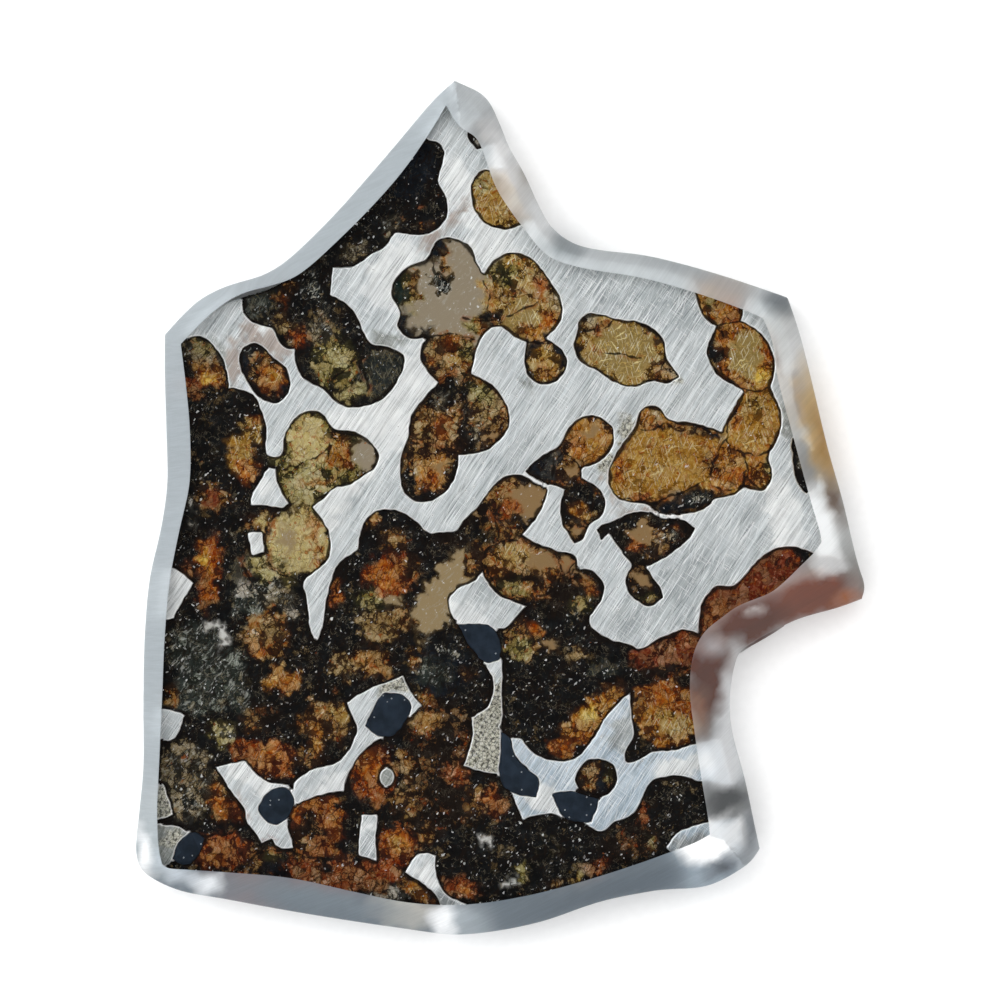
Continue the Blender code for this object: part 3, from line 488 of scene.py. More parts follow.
# %% Lay out the crystals
CRYSTALS = {
    "olivine_point_fleck": ("smoke", [("ash", -1.6, 25.6, 0.4, 0.3)]),
    "olivine_upper_rim": ("gold", [
        ("khaki", -1.4, 22.8, 0.5, 1.0, 20), ("umber", -1.5, 23.4, 0.4, 0.5), ("honey", -0.6, 21.3, 0.8, 1.2)]),
    "olivine_upper_left_rim": ("night", [
        ("ink", -6.3, 23.6, 1.6, 2.2, -30), ("stone", -7.6, 19.6, 0.6, 0.9, -20), ("umber", -5.0, 19.5, 0.4, 0.4),
        ("stone", -10.3, 17.7, 1.1, 0.5, 30), ("pepper", -13.1, 15.3, 0.7, 1.1, 20), ("slate", -17.0, 14.1, 1.2, 1.1),
        ("moss", -16.9, 13.9, 0.6, 0.5, 20), ("brown", -14.8, 15.4, 0.6, 0.5), ("orange", -15.3, 14.3, 0.35, 0.4),
        ("clay", -15.1, 12.9, 0.6, 0.8, 10), ("flame", -14.1, 11.9, 0.6, 0.8), ("olive", -11.5, 10.2, 1.7, 1.9, 20),
        ("khaki", -11.3, 10.2, 0.7, 0.9), ("slate", -8.3, 9.3, 1.6, 2.0, -20), ("stone", -12.6, 12.6, 1.0, 1.0),
        ("khaki", -10.6, 7.9, 1.3, 0.5, 20), ("night", -6.3, 11.4, 0.6, 0.5)]),
    "olivine_bean": ("ink", [
        ("umber", -16.4, 9.6, 1.2, 1.5, 30), ("orange", -16.0, 9.0, 0.9, 1.0, 20), ("honey", -15.8, 9.0, 0.4, 0.5),
        ("pepper", -17.7, 10.9, 0.5, 0.4, 30), ("night", -15.6, 7.6, 0.6, 0.4)]),
    "olivine_upper_centre": ("taupe", [
        # the finger at the top, the left edge and the patch of crumbs
        ("ink", -4.5, 18.3, 0.6, 1.3, -30), ("umber", -3.9, 17.3, 0.35, 1.0, 10), ("teal", -7.2, 15.6, 0.6, 1.7, 10),
        ("olive", -6.4, 15.5, 0.55, 1.5, 10), ("brown", -6.1, 15.8, 0.3, 0.9, 10), ("ink", -6.9, 12.9, 0.5, 0.9, 20),
        ("ink", -6.0, 12.1, 1.3, 0.35, -10), ("pepper", -4.2, 15.7, 0.8, 0.7, -20),
        # the golden grain on the right
        ("gold", 1.6, 14.7, 2.9, 3.2), ("olive", 0.0, 16.2, 1.0, 1.1, 30), ("honey", -0.3, 15.1, 0.7, 0.6),
        ("umber", 0.9, 15.0, 1.5, 0.35, 5), ("clay", 3.0, 16.0, 0.9, 0.7, -30), ("flame", 2.8, 15.2, 0.4, 0.7),
        ("wheat", 1.9, 13.6, 0.8, 1.1, 10), ("clay", 3.8, 14.4, 0.5, 1.0, 10), ("wheat", 0.8, 13.2, 0.6, 0.8, 20),
        ("orange", 3.3, 13.1, 0.45, 0.6), ("amber", 2.2, 12.2, 1.1, 0.5), ("night", -0.7, 13.3, 0.8, 0.5),
        ("olive", -1.7, 12.6, 0.8, 0.6), ("amber", -1.3, 12.5, 0.35, 0.5),
        # the two small grains under it
        ("brown", -3.6, 10.5, 2.1, 1.7), ("clay", -4.7, 11.2, 0.6, 0.8), ("orange", -3.3, 11.3, 0.7, 0.45, -20),
        ("olive", -2.5, 10.8, 0.6, 0.9), ("gold", -3.0, 10.1, 0.6, 0.5), ("orange", -4.8, 10.3, 0.3, 0.4),
        ("ink", -5.6, 11.0, 0.35, 1.1), ("night", -4.5, 9.5, 0.9, 0.5, 20), ("ink", 3.2, 10.2, 1.7, 1.7),
        ("gold", 3.1, 10.0, 1.15, 1.35), ("amber", 3.1, 9.5, 0.6, 0.5),
        # the big dark grain and the lobe below it
        ("umber", -2.9, 6.4, 3.9, 3.6), ("night", -4.0, 7.9, 1.7, 1.1, 10), ("stone", -4.2, 7.6, 0.6, 0.4),
        ("brown", -3.1, 9.6, 0.8, 0.5), ("olive", -1.4, 8.0, 1.3, 0.7, -40), ("brown", -4.2, 5.6, 1.3, 1.4, 10),
        ("orange", -4.0, 5.4, 0.7, 1.2, 10), ("clay", -5.7, 5.3, 0.5, 0.7), ("clay", -3.3, 5.4, 0.4, 0.7),
        ("night", -2.4, 6.0, 0.3, 2.0), ("clay", -1.2, 6.5, 0.9, 0.6), ("bronze", -0.6, 4.9, 0.4, 0.5),
        ("stone", -1.7, 5.1, 0.5, 0.6), ("night", -2.1, 4.2, 0.9, 0.4, -10), ("umber", -5.0, 2.4, 2.5, 2.5),
        ("amber", -4.8, 2.5, 1.1, 1.3), ("orange", -5.0, 1.9, 0.5, 0.9), ("bronze", -4.3, 2.7, 0.4, 0.5),
        ("clay", -6.0, 2.8, 0.3, 0.3), ("night", -6.5, 1.7, 0.5, 1.4, 10), ("night", -5.2, 0.8, 1.3, 0.4),
        ("night", -3.3, 2.0, 0.3, 1.0)]),
    "olivine_lens": ("gold", [
        ("wheat", 8.6, 10.9, 2.9, 1.9, -20), ("gold", 5.9, 11.4, 0.7, 1.1), ("gold", 10.4, 9.4, 0.8, 0.5, 30),
        ("ink", 5.2, 11.2, 0.25, 0.8), ("clay", 6.5, 12.6, 1.0, 0.4, 10), ("flame", 7.0, 12.5, 0.5, 0.2, 30),
        ("pepper", 5.8, 13.3, 0.7, 0.25), ("ink", 10.6, 12.4, 1.6, 0.2, -40), ("brown", 11.5, 9.7, 0.8, 0.7),
        ("pepper", 12.3, 9.2, 0.3, 0.5)]),
    "olivine_right_cluster": ("honey", [
        # from the top grain down to the round lobes
        ("amber", 15.3, 14.0, 1.7, 0.9, -15), ("olive", 14.6, 14.3, 0.6, 0.4), ("orange", 16.4, 13.7, 0.5, 0.5),
        ("rust", 15.9, 13.0, 1.0, 0.25, -10), ("amber", 16.9, 10.6, 2.3, 2.4), ("wheat", 17.2, 10.8, 1.3, 1.6),
        ("orange", 18.7, 10.8, 0.3, 1.6, 5), ("yellow", 18.2, 9.2, 0.4, 0.3, 30),
        ("night", 14.9, 11.0, 0.45, 1.7, 10), ("honey", 17.8, 6.0, 2.0, 2.3), ("gold", 17.8, 7.3, 0.8, 0.7),
        ("orange", 16.4, 6.2, 0.4, 0.9, -10), ("amber", 15.7, 2.7, 1.4, 1.8), ("amber", 18.0, 2.3, 1.0, 1.1),
        ("orange", 16.4, 2.0, 0.6, 0.8), ("olive", 18.9, 2.6, 0.3, 0.6),
        # the rims of the big oblong grain
        ("brown", 14.6, 3.2, 0.6, 1.1, 20), ("orange", 8.3, 2.8, 0.5, 1.0, 10), ("blood", 8.7, 4.3, 0.3, 0.2),
        ("amber", 10.4, 6.3, 1.1, 0.8), ("clay", 10.9, 6.4, 0.4, 0.4), ("umber", 11.8, 5.6, 1.6, 0.35, -8),
        ("clay", 13.6, 5.5, 0.5, 0.3), ("ink", 14.6, 5.3, 0.9, 0.35, -15), ("ink", 12.9, 0.3, 2.5, 0.8, 14),
        ("pepper", 13.6, 0.6, 1.3, 0.45, 10), ("bronze", 11.9, 0.7, 0.6, 0.3, 15), ("rust", 10.2, 0.6, 0.9, 0.3)]),
    "olivine_right_rim": ("honey", [("brown", 20.9, 6.5, 0.5, 1.0)]),
    "olivine_right_rim_sliver": ("night", [("olive", 21.2, 3.6, 0.3, 0.8), ("ash", 21.0, 3.2, 0.2, 0.2)]),
    "olivine_middle_cluster": ("umber", [
        ("ink", 3.0, 2.9, 1.3, 1.1, 20), ("umber", 2.9, 2.7, 0.25, 0.25), ("umber", 4.6, 2.5, 0.95, 0.9),
        ("bronze", 5.0, 2.6, 0.45, 0.5), ("ash", 3.6, 3.0, 0.12, 0.7, -20), ("amber", 6.2, 4.8, 1.6, 1.6),
        ("bronze", 6.3, 5.3, 0.8, 0.5, 20), ("orange", 5.4, 4.5, 0.5, 0.7), ("honey", 6.4, 4.4, 0.5, 0.35),
        ("night", 5.7, 0.2, 1.6, 1.5), ("amber", 5.6, -0.3, 0.75, 0.5, -35), ("gold", 6.3, -0.6, 0.4, 0.2),
        ("bronze", 5.4, -1.7, 0.8, 0.55, -10), ("night", 7.1, -1.6, 0.6, 0.6)]),
    "olivine_right_wedge": ("night", [
        ("umber", 10.4, -2.3, 1.7, 1.3, -10), ("bronze", 9.8, -1.8, 0.95, 0.7), ("smoke", 9.9, -3.2, 1.0, 0.5),
        ("pepper", 11.7, -2.2, 0.7, 0.3, 40), ("orange", 12.3, -1.5, 0.35, 0.35), ("flame", 9.4, -2.7, 0.4, 0.4),
        ("smoke", 10.1, -5.5, 1.6, 1.7), ("bronze", 10.1, -5.1, 0.6, 0.5), ("olive", 10.6, -6.3, 0.7, 0.4, 20),
        ("ink", 10.9, -5.4, 0.35, 0.4)]),
    "olivine_round": ("smoke", [
        ("brown", 6.3, -18.7, 0.6, 1.0), ("ink", 7.1, -18.8, 0.35, 1.0), ("olive", 7.8, -18.6, 0.3, 0.7)]),
    "olivine_lower_network": ("night", [
        # the left edge, from the top down
        ("stone", -21.0, 10.9, 1.8, 1.0, -20), ("olive", -20.8, 11.2, 0.8, 0.5, -20),
        ("amber", -20.3, 9.3, 1.4, 0.8, -25), ("orange", -20.4, 9.1, 0.9, 0.6, -25),
        ("yellow", -20.4, 9.1, 0.4, 0.25, -25), ("rust", -21.6, 8.4, 0.9, 0.7), ("night", -19.6, 6.4, 2.0, 1.3),
        ("night", -21.0, 3.6, 1.6, 3.0), ("gold", -17.7, 4.3, 0.9, 2.2, -20), ("orange", -17.0, 6.2, 0.6, 0.35, -20),
        ("honey", -18.7, 4.0, 0.35, 0.9), ("smoke", -16.9, 3.8, 0.5, 0.9), ("orange", -17.8, 2.5, 0.8, 0.8),
        ("pepper", -15.8, 3.4, 0.8, 0.5), ("umber", -20.2, 0.7, 1.3, 1.0), ("blood", -20.2, 0.6, 0.6, 0.7),
        ("ash", -21.6, 0.2, 0.25, 0.5), ("ash", -21.5, -1.2, 0.25, 0.3), ("rust", -22.0, -4.6, 0.6, 0.7),
        ("flame", -20.4, -4.5, 0.8, 2.6, -5), ("orange", -20.7, -3.6, 0.55, 1.4, 10),
        # the bright yellow spot at -20.6, -3.7 is a painted highlight
        ("yellow", -20.6, -3.7, 0.2, 0.6, 10), ("orange", -20.3, -5.9, 0.45, 0.8), ("orange", -19.8, -3.3, 0.2, 0.5),
        # the pale pair of grains by the left wedge of metal
        ("olive", -12.8, 3.2, 3.4, 3.6), ("straw", -13.4, 4.6, 1.5, 1.8), ("khaki", -13.3, 1.4, 1.8, 1.3),
        ("orange", -12.8, 1.8, 0.8, 0.2, 10), ("amber", -11.1, 3.7, 0.8, 1.3), ("orange", -10.7, 3.5, 0.3, 0.6),
        ("taupe", -9.4, 3.7, 0.8, 1.4),
        # the round straw grain under it
        ("straw", -14.1, -2.4, 2.3, 2.3), ("tan", -14.9, -2.2, 0.6, 1.1), ("orange", -13.0, -2.3, 0.3, 1.6, 10),
        ("umber", -16.9, -0.8, 1.0, 0.7), ("straw", -16.5, -0.9, 0.45, 0.4),
        # the dark band down the left side with its pale streaks
        ("khaki", -16.0, -4.3, 1.8, 0.9, -15), ("slate", -18.2, -5.0, 0.7, 2.0),
        ("pepper", -16.0, -6.0, 1.5, 0.9, -10), ("ash", -18.1, -5.7, 0.45, 0.45), ("moss", -17.6, -7.0, 1.0, 0.8),
        ("stone", -15.4, -6.2, 1.3, 0.7), ("ash", -14.6, -7.3, 0.35, 0.5, 20), ("brown", -16.3, -8.9, 1.6, 1.8),
        ("orange", -17.0, -9.9, 0.7, 0.5), ("clay", -16.0, -8.6, 0.8, 1.0), ("pale", -19.9, -8.9, 0.75, 1.0, 35),
        ("moss", -21.4, -9.8, 1.9, 1.6, 30), ("moss", -20.6, -12.4, 2.6, 1.9, 30),
        ("moss", -18.4, -12.0, 0.9, 2.2, 10), ("night", -17.3, -12.2, 0.7, 1.5), ("amber", -15.2, -12.1, 1.2, 1.0),
        ("orange", -15.0, -12.4, 0.7, 0.5), ("brown", -23.0, -13.2, 0.6, 0.8),
        # the lower left
        ("khaki", -19.4, -15.8, 0.9, 0.9), ("ash", -19.0, -15.9, 0.3, 0.3), ("umber", -17.2, -15.0, 1.0, 0.8),
        ("flame", -18.0, -17.0, 1.0, 0.9), ("flame", -15.9, -17.6, 1.8, 1.4), ("orange", -16.4, -17.4, 0.8, 0.8),
        ("brown", -12.6, -15.0, 1.5, 1.3), ("amber", -12.9, -16.4, 0.6, 0.9), ("umber", -13.4, -17.6, 1.2, 0.8),
        ("umber", -11.4, -15.0, 0.9, 1.6), ("gold", -11.2, -14.6, 0.6, 0.7), ("smoke", -16.4, -14.4, 1.0, 0.8),
        ("stone", -22.0, -19.0, 2.0, 2.8), ("pepper", -22.0, -20.7, 0.7, 0.5, 20),
        ("brown", -19.5, -20.7, 0.9, 1.5, 15), ("orange", -19.6, -20.8, 0.5, 1.1, 15),
        ("flame", -18.4, -21.2, 0.6, 1.0, 20), ("flame", -19.6, -24.0, 2.1, 1.4), ("orange", -20.2, -24.6, 0.6, 0.4),
        ("umber", -16.7, -24.6, 1.1, 0.7, 20), ("olive", -16.1, -24.4, 0.5, 0.4), ("ink", -16.0, -25.3, 0.9, 0.3),
        ("rust", -13.9, -25.0, 1.3, 0.7, -5), ("rust", -17.0, -26.2, 3.0, 0.5), ("flame", -12.8, -22.3, 2.0, 2.2),
        ("orange", -13.4, -20.8, 1.0, 0.45, 20), ("smoke", -13.2, -22.4, 0.8, 0.9),
        ("orange", -11.6, -22.4, 0.4, 1.8), ("umber", -14.1, -23.4, 0.5, 1.2), ("night", -10.3, -22.8, 0.7, 1.8),
        ("rust", -12.0, -26.2, 3.0, 0.7),
        # the cracked grains in the lower middle
        ("flame", -9.0, -18.4, 1.6, 2.4, 10), ("orange", -9.3, -18.0, 0.9, 1.3, 10), ("smoke", -4.2, -16.2, 2.6, 2.8),
        ("smoke", -5.6, -16.6, 1.0, 2.4), ("brown", -5.4, -15.0, 1.0, 0.9), ("brown", -6.6, -18.0, 0.7, 1.0),
        ("rust", -3.0, -18.6, 0.8, 1.2, -20), ("smoke", -4.6, -21.2, 2.8, 2.2), ("umber", -6.9, -20.6, 1.0, 0.9),
        ("clay", -6.5, -21.6, 0.5, 0.5), ("brown", -5.2, -23.1, 0.5, 0.6), ("umber", -1.7, -20.6, 0.9, 1.2),
        ("flame", -0.4, -20.7, 0.9, 1.1, 20), ("flame", -7.4, -23.8, 1.6, 1.6, -20),
        ("orange", -7.2, -23.4, 0.9, 0.8, -20), ("honey", -7.2, -23.5, 0.4, 0.4), ("rust", -8.6, -25.6, 1.5, 1.1),
        ("rust", -10.6, -25.4, 1.2, 1.0), ("night", -1.9, -23.9, 2.2, 2.0), ("rust", -2.8, -26.6, 1.4, 0.7),
        ("orange", -2.4, -26.7, 0.5, 0.3), ("amber", -5.6, -26.8, 1.5, 0.5, -28), ("ash", -8.0, -27.1, 1.3, 0.35, 5),
        # the black grains at the lower right and their few coloured spots
        ("night", 3.4, -24.0, 3.2, 2.4), ("olive", 1.5, -25.5, 0.5, 0.6), ("pale", 0.7, -26.2, 0.45, 0.25),
        ("pale", -0.9, -23.3, 0.32, 0.3), ("rust", 6.8, -25.1, 1.0, 0.5, 20), ("umber", 4.4, -26.2, 1.2, 0.25, 10),
        ("yellow", 5.3, -25.8, 0.18, 0.3), ("smoke", 9.2, -23.4, 2.2, 1.2, 15), ("olive", 10.6, -23.4, 0.25, 0.25),
        ("night", 12.0, -20.6, 2.3, 1.8), ("rust", 9.9, -21.5, 0.5, 0.8),
        # the middle, from the top left to the right
        ("night", -7.6, -2.0, 2.3, 1.9), ("brown", -9.0, -0.9, 0.5, 0.6), ("umber", -7.5, -2.4, 1.1, 0.8),
        ("clay", -7.5, -2.2, 0.4, 0.4), ("flame", -7.7, -4.7, 2.0, 1.5, 20), ("orange", -8.0, -4.6, 1.1, 0.9, 20),
        ("umber", -6.1, -4.0, 0.8, 0.8), ("night", -11.0, -6.4, 1.2, 3.0, -10),
        ("orange", -11.5, -6.0, 0.4, 0.9, -10), ("olive", -9.2, -6.5, 1.0, 0.6), ("clay", -8.4, -8.3, 1.6, 1.2),
        ("brown", -6.8, -7.8, 0.6, 1.0), ("tan", -3.9, -6.0, 3.5, 1.45, 58), ("tan", -7.5, -6.6, 0.5, 0.35),
        ("clay", -11.0, -11.1, 0.9, 1.0, 30), ("brown", -8.9, -10.8, 1.5, 1.0, -20),
        ("orange", -8.2, -11.5, 0.4, 0.3, -40), ("night", -10.2, -12.5, 1.6, 0.5), ("ink", -4.2, -11.2, 2.0, 1.9),
        ("moss", -4.6, -11.6, 1.2, 1.0), ("pepper", -3.9, -9.9, 1.3, 0.4, -25), ("umber", -6.0, -10.4, 0.5, 0.8),
        ("brown", -5.3, -13.4, 0.8, 0.5), ("umber", -2.2, -11.6, 0.5, 0.5), ("smoke", -3.6, -2.3, 1.4, 0.5),
        ("umber", -1.8, -3.6, 0.8, 1.2, -20), ("umber", 0.2, 0.6, 1.9, 1.6), ("smoke", -1.4, -0.5, 1.2, 0.6, 20),
        ("bronze", 2.0, 0.4, 1.3, 1.4, -20), ("brown", 0.4, 1.7, 0.9, 0.5), ("flame", 0.6, 0.1, 0.7, 0.7),
        ("umber", 0.2, -1.6, 1.2, 0.6), ("brown", 1.6, -4.4, 2.9, 2.1, -10), ("gold", 1.0, -3.3, 1.3, 0.8, -10),
        ("bronze", 2.9, -3.7, 0.9, 0.9, 10), ("smoke", 1.6, -5.0, 1.9, 0.35), ("olive", 0.8, -5.7, 1.2, 0.5, -20),
        ("bronze", 4.7, -3.8, 0.7, 0.65), ("smoke", 4.6, -6.2, 1.5, 1.4), ("bronze", 5.6, -4.9, 0.8, 0.35, -10),
        ("orange", 6.3, -5.7, 0.5, 0.5), ("olive", 5.7, -6.7, 0.9, 0.5, 30), ("pepper", 5.0, -7.6, 0.6, 0.4),
        ("umber", 1.6, -9.2, 1.3, 1.6), ("orange", 2.3, -8.4, 0.4, 0.6), ("olive", 1.3, -9.9, 0.8, 0.9),
        ("bronze", 3.7, -9.6, 0.55, 0.4), ("clay", 5.3, -10.3, 0.55, 0.45), ("pepper", 5.2, -9.4, 0.5, 0.3),
        ("night", 3.6, -13.6, 3.4, 2.8), ("slate", 7.2, -11.2, 1.2, 0.6), ("amber", 6.1, -14.9, 3.4, 1.1, 45),
        ("orange", 4.5, -16.6, 1.2, 0.7, 20), ("yellow", 6.1, -14.5, 0.75, 0.4, 20),
        # the red grains round the notch and on to the right point
        ("blood", 11.9, -10.0, 2.8, 1.8, 15), ("rust", 12.2, -9.6, 1.4, 0.5, 20), ("smoke", 11.6, -11.4, 2.2, 0.4, 3),
        ("amber", 11.7, -14.4, 2.5, 2.4), ("orange", 11.2, -12.9, 1.8, 0.6, 5),
        ("orange", 12.6, -13.9, 1.2, 0.6, -15), ("gold", 12.0, -15.0, 1.5, 0.8, -10), ("night", 9.9, -16.7, 0.7, 0.7),
        ("blood", 17.2, -5.4, 4.2, 3.0, 30), ("flame", 14.8, -7.4, 1.3, 0.8, 20), ("rust", 13.8, -8.4, 0.9, 0.6, 30),
        ("rust", 21.6, -6.0, 2.4, 1.6, 20), ("flame", 20.6, -6.4, 1.4, 0.7, 20), ("orange", 24.0, -6.2, 1.0, 0.4, 20),
        ("rust", 15.4, -11.0, 1.2, 2.4)]),
}
print(sum(len(rows) for _, rows in CRYSTALS.values()), "ovals on", len(CRYSTALS), "crystals")

# %% [markdown]
# ## Metal and the black crystals
# Nickel iron polishes to a light silver grey. It is brighter in some strips than in others, partly as its
# crystals lie differently and partly as painted light and shade: the white, steel and blue ovals stand for the way
# light falls across it, the white ones mostly as painted highlights. Here and there it holds a patch of brown grey
# sulphide or of finely broken metal and stone.
# The numbers of a look are the share of its second colour on the whole, how much scratching there is, and how
# much breaking up. The black crystals have one look, which here serves only for what shows through the slopes.

# %% Lay out the metal, and lay ovals over a grain
METALS = {
    #            metal      fragments  share scratches breaking
    "silver":   ("#B9BFC1", "#C6CBCC", 0.50, 0.60, 0.00),
    "steel":    ("#A7ADAF", "#B7BDBE", 0.50, 0.70, 0.00),
    "white":    ("#D3D6D6", "#E2E4E3", 0.50, 0.50, 0.00),
    "blue":     ("#A5B3BE", "#BCC7CF", 0.50, 0.60, 0.00),
    "dull":     ("#8C9192", "#A3A8A8", 0.50, 0.50, 0.05),
    "sulphide": ("#A0968F", "#B0A69F", 0.50, 0.15, 0.00),
    "broken":   ("#A19F90", "#C9C7B8", 0.50, 0.20, 1.00),
    "grey":     ("#8B8F8C", "#9DA09B", 0.50, 0.20, 0.25),
    "stained":  ("#7A3A2C", "#B9A79C", 0.50, 0.20, 0.40),
}
METAL_GRAINS = {
    "metal_matrix": ("silver", [
        ("white", -7.4, 16.2, 2.6, 1.8, 55), ("white", -9.0, 4.0, 4.0, 9.0, -40),
        ("silver", -8.0, 1.0, 1.5, 8.0, -40), ("white", -2.6, 22.0, 1.2, 3.0, 30),
        ("steel", 14.0, 17.4, 7.0, 3.0, -10), ("steel", 10.0, 14.6, 6.0, 1.4, -20),
        ("silver", 4.8, 7.2, 2.2, 4.0, -40), ("silver", 17.0, -2.0, 6.0, 4.0, 40),
        ("steel", 12.0, -6.4, 5.0, 2.0, 30), ("white", 20.0, -1.0, 1.2, 3.5, 15), ("white", 3.6, -6.9, 2.2, 1.8),
        ("silver", 20.6, 12.0, 1.2, 3.0, 10), ("sulphide", -3.0, 20.5, 1.15, 0.35, 55),
        # the white oval between the finger and the gold grain is a painted highlight
        ("sulphide", -4.8, 18.9, 0.5, 1.1, -35), ("white", -0.6, 18.2, 1.8, 1.5, -40),
        ("sulphide", -16.3, 11.8, 2.0, 1.2, -25), ("sulphide", -18.6, 10.2, 0.7, 1.6),
        ("grey", -19.6, 10.4, 0.35, 1.5, 15), ("white", -16.5, 12.6, 0.5, 0.4), ("grey", -7.8, 11.7, 1.4, 0.5),
        ("grey", 2.0, 8.6, 0.3, 0.45, 20), ("broken", 8.9, 5.0, 0.6, 1.4, 10), ("broken", 12.2, 9.2, 0.4, 0.4),
        ("sulphide", 7.8, 1.5, 0.4, 1.3, 20), ("sulphide", 10.2, -0.3, 2.0, 0.35), ("broken", 7.4, 3.3, 0.5, 0.8),
        ("grey", 20.0, 6.0, 0.4, 1.2, 10)]),
    "metal_centre_wedge": ("silver", [("white", -2.4, -7.6, 1.6, 0.9, -30), ("steel", -0.6, -5.6, 1.2, 1.4)]),
    "metal_column": ("broken", [("silver", -0.2, -11.4, 0.8, 0.8), ("broken", -1.3, -16.0, 1.4, 2.6)]),
    "metal_long_strip": ("silver", [
        ("broken", -7.0, -12.2, 1.6, 0.7, 20), ("white", -11.2, -19.2, 2.0, 0.7, 20),
        ("silver", -9.6, -15.0, 0.9, 2.0, 30)]),
    "metal_star": ("silver", [
        ("white", -17.4, -18.8, 2.0, 0.8, -30), ("stained", -18.1, -21.2, 0.25, 0.9, 15),
        ("stained", -16.2, -23.3, 0.2, 0.4, 20)]),
    "metal_oval_fleck": ("grey", []),
    "metal_bar": ("steel", [("white", -9.3, -22.2, 0.5, 0.5)]),
    "metal_foot": ("silver", [("white", -5.2, -25.6, 0.8, 0.9), ("dull", -4.0, -27.2, 0.8, 1.0)]),
    "metal_lower_right": ("blue", [
        ("white", 3.2, -20.4, 2.0, 1.0, -30), ("blue", 9.0, -17.0, 3.0, 3.0), ("white", 12.6, -18.2, 2.0, 0.8, 10),
        ("dull", 8.6, -15.6, 0.8, 1.6, -30)]),
    "metal_lower_right_rim": ("blue", [("dull", 13.4, -23.6, 1.6, 0.7, 10)]),
    "metal_left_wedge": ("silver", [("white", -16.4, 1.6, 0.6, 0.8)]),
    "metal_square_fleck": ("white", []),
    "metal_left_rim_upper": ("white", []),
    "metal_left_rim_middle": ("silver", []),
    "metal_left_rim_grey": ("broken", []),
    "metal_left_rim_lower": ("grey", [("broken", -23.0, -23.2, 0.8, 0.7)]),
}
BLACKS = {"ink": ("#12181E", "#222B34", 0.15)}
OVAL_SOFT = 0.35


def past_oval(points, x, y, wide, tall, turn=0):
    """About how far each point lies outside an oval: its distance from the middle, in axes turned and shrunk so
    that the oval is a circle of radius 1, less 1, times the smaller half width."""
    c, s = math.cos(math.radians(turn)), math.sin(math.radians(turn))
    across = (points - (x, y)) @ np.array([[c, -s], [s, c]]) / (wide, tall)
    return (np.linalg.norm(across, axis=1) - 1) * min(wide, tall)


def looks_at(points, first, rows, table, shown):
    """All values of a look at each point, its colours as shown by the given function. Each oval's weight falls
    from 1 to 0 over OVAL_SOFT millimetres at its edge, after waves have bent the points a little."""
    values = {name: np.concatenate([shown(look[0]), shown(look[1]), look[2:]]) for name, look in table.items()}
    bent = points + ripple(points, seed=21, shortest=0.5, longest=2.2, height=0.18)
    bent += ripple(points, seed=22, shortest=0.25, longest=0.6, height=0.07)
    found = np.tile(values[first], (len(points), 1))
    for name, *oval in rows:
        found += np.clip(0.5 - past_oval(bent, *oval) / OVAL_SOFT, 0, 1)[:, None] * (values[name] - found)
    return found


print(len(METAL_GRAINS), "pieces of metal")

# %% [markdown]
# ## Nodes for the materials
# All patterns are made of nodes, so one short function adds a node, sets what it is told to set, and fills its
# inputs. The settings that come back again and again have names here: TIMES is a Math node that multiplies, and
# stays between 0 and 1 as ABOVE, BELOW and LARGER do, SCALED_SUM is the first input times the second, plus the
# third, RAMP goes smoothly from one value to another, and LAY is a Mix node that lays the second colour over the
# first by the factor. FLAT patterns are drawn in the plane only.

# %% A helper for nodes
TIMES, ABOVE, BELOW, LARGER = ({"operation": name, "use_clamp": True} for name in (
    "MULTIPLY", "GREATER_THAN", "LESS_THAN", "MAXIMUM"))
LESS, SCALED_SUM = ({"operation": name} for name in ("SUBTRACT", "MULTIPLY_ADD"))
RAMP, LAY = {"interpolation_type": "SMOOTHSTEP"}, {"data_type": "RGBA", "clamp_factor": True}
FLAT_NOISE, FLAT_CELLS = {"noise_dimensions": "2D"}, {"voronoi_dimensions": "2D"}
FLAT_CRACKS = {"voronoi_dimensions": "2D", "feature": "DISTANCE_TO_EDGE"}


def add(tree, kind, *inputs, **settings):
    """Adds a node of this kind. Inputs fill its sockets in order, and those in a dict go by name. Each is a value,
    a colour, an output, or a node, which stands for its first output."""
    made = tree.nodes.new("ShaderNode" + kind)
    for name, value in settings.items():
        setattr(made, name, value)
    sockets = [socket for socket in made.inputs if socket.enabled]
    filled = [(socket, value) for socket, value in zip(sockets, inputs) if not isinstance(value, dict)]
    for named in (value for value in inputs if isinstance(value, dict)):
        filled += [(next(socket for socket in sockets if socket.name == name), value) for name, value in named.items()]
    for socket, value in filled:
        if isinstance(value, bpy.types.Node):
            value = next(output for output in value.outputs if output.enabled)
        if isinstance(value, bpy.types.NodeSocket):
            tree.links.new(value, socket)
        elif socket.type == "RGBA":
            socket.default_value = (*value, 1)
        else:
            socket.default_value = value
    return made


def new_material(name):
    """An empty material, and the function that adds a node to it."""
    made = bpy.data.materials.new(name)
    made.use_nodes = True
    made.node_tree.nodes.clear()
    return made, partial(add, made.node_tree)


# %% Patterns that several materials share


def millimetres(node):
    """The place on the piece in millimetres, with 0.6 of its height added to x and 0.8 of it to y, so that a flat
    pattern also runs down the walls, at a slant."""
    x, y, z = node("SeparateXYZ", node("TexCoord").outputs["Object"]).outputs
    flat = node("CombineXYZ", node("Math", z, 0.6, x, **SCALED_SUM), node("Math", z, 0.8, y, **SCALED_SUM))
    return node("VectorMath", flat, {"Scale": 1 / MM}, operation="SCALE")


def turned(node, where, turn, along, across):
    """The place in axes turned by this many degrees, with one unit as long and as wide as given."""
    straight = node("Mapping", where, {"Rotation": (0, 0, -math.radians(turn))})
    return node("Mapping", straight, {"Scale": (1 / along, 1 / across, 1)})


def lines(node, where, turn, width, length, low, high):
    """Straight marks: noise that is squeezed to the line's width across and drawn out to its length along, then
    cut off between low and high."""
    marks = node("TexNoise", turned(node, where, turn, length, width), 1.0, 1.0, **FLAT_NOISE)
    return node("MapRange", marks, low, high, **RAMP)


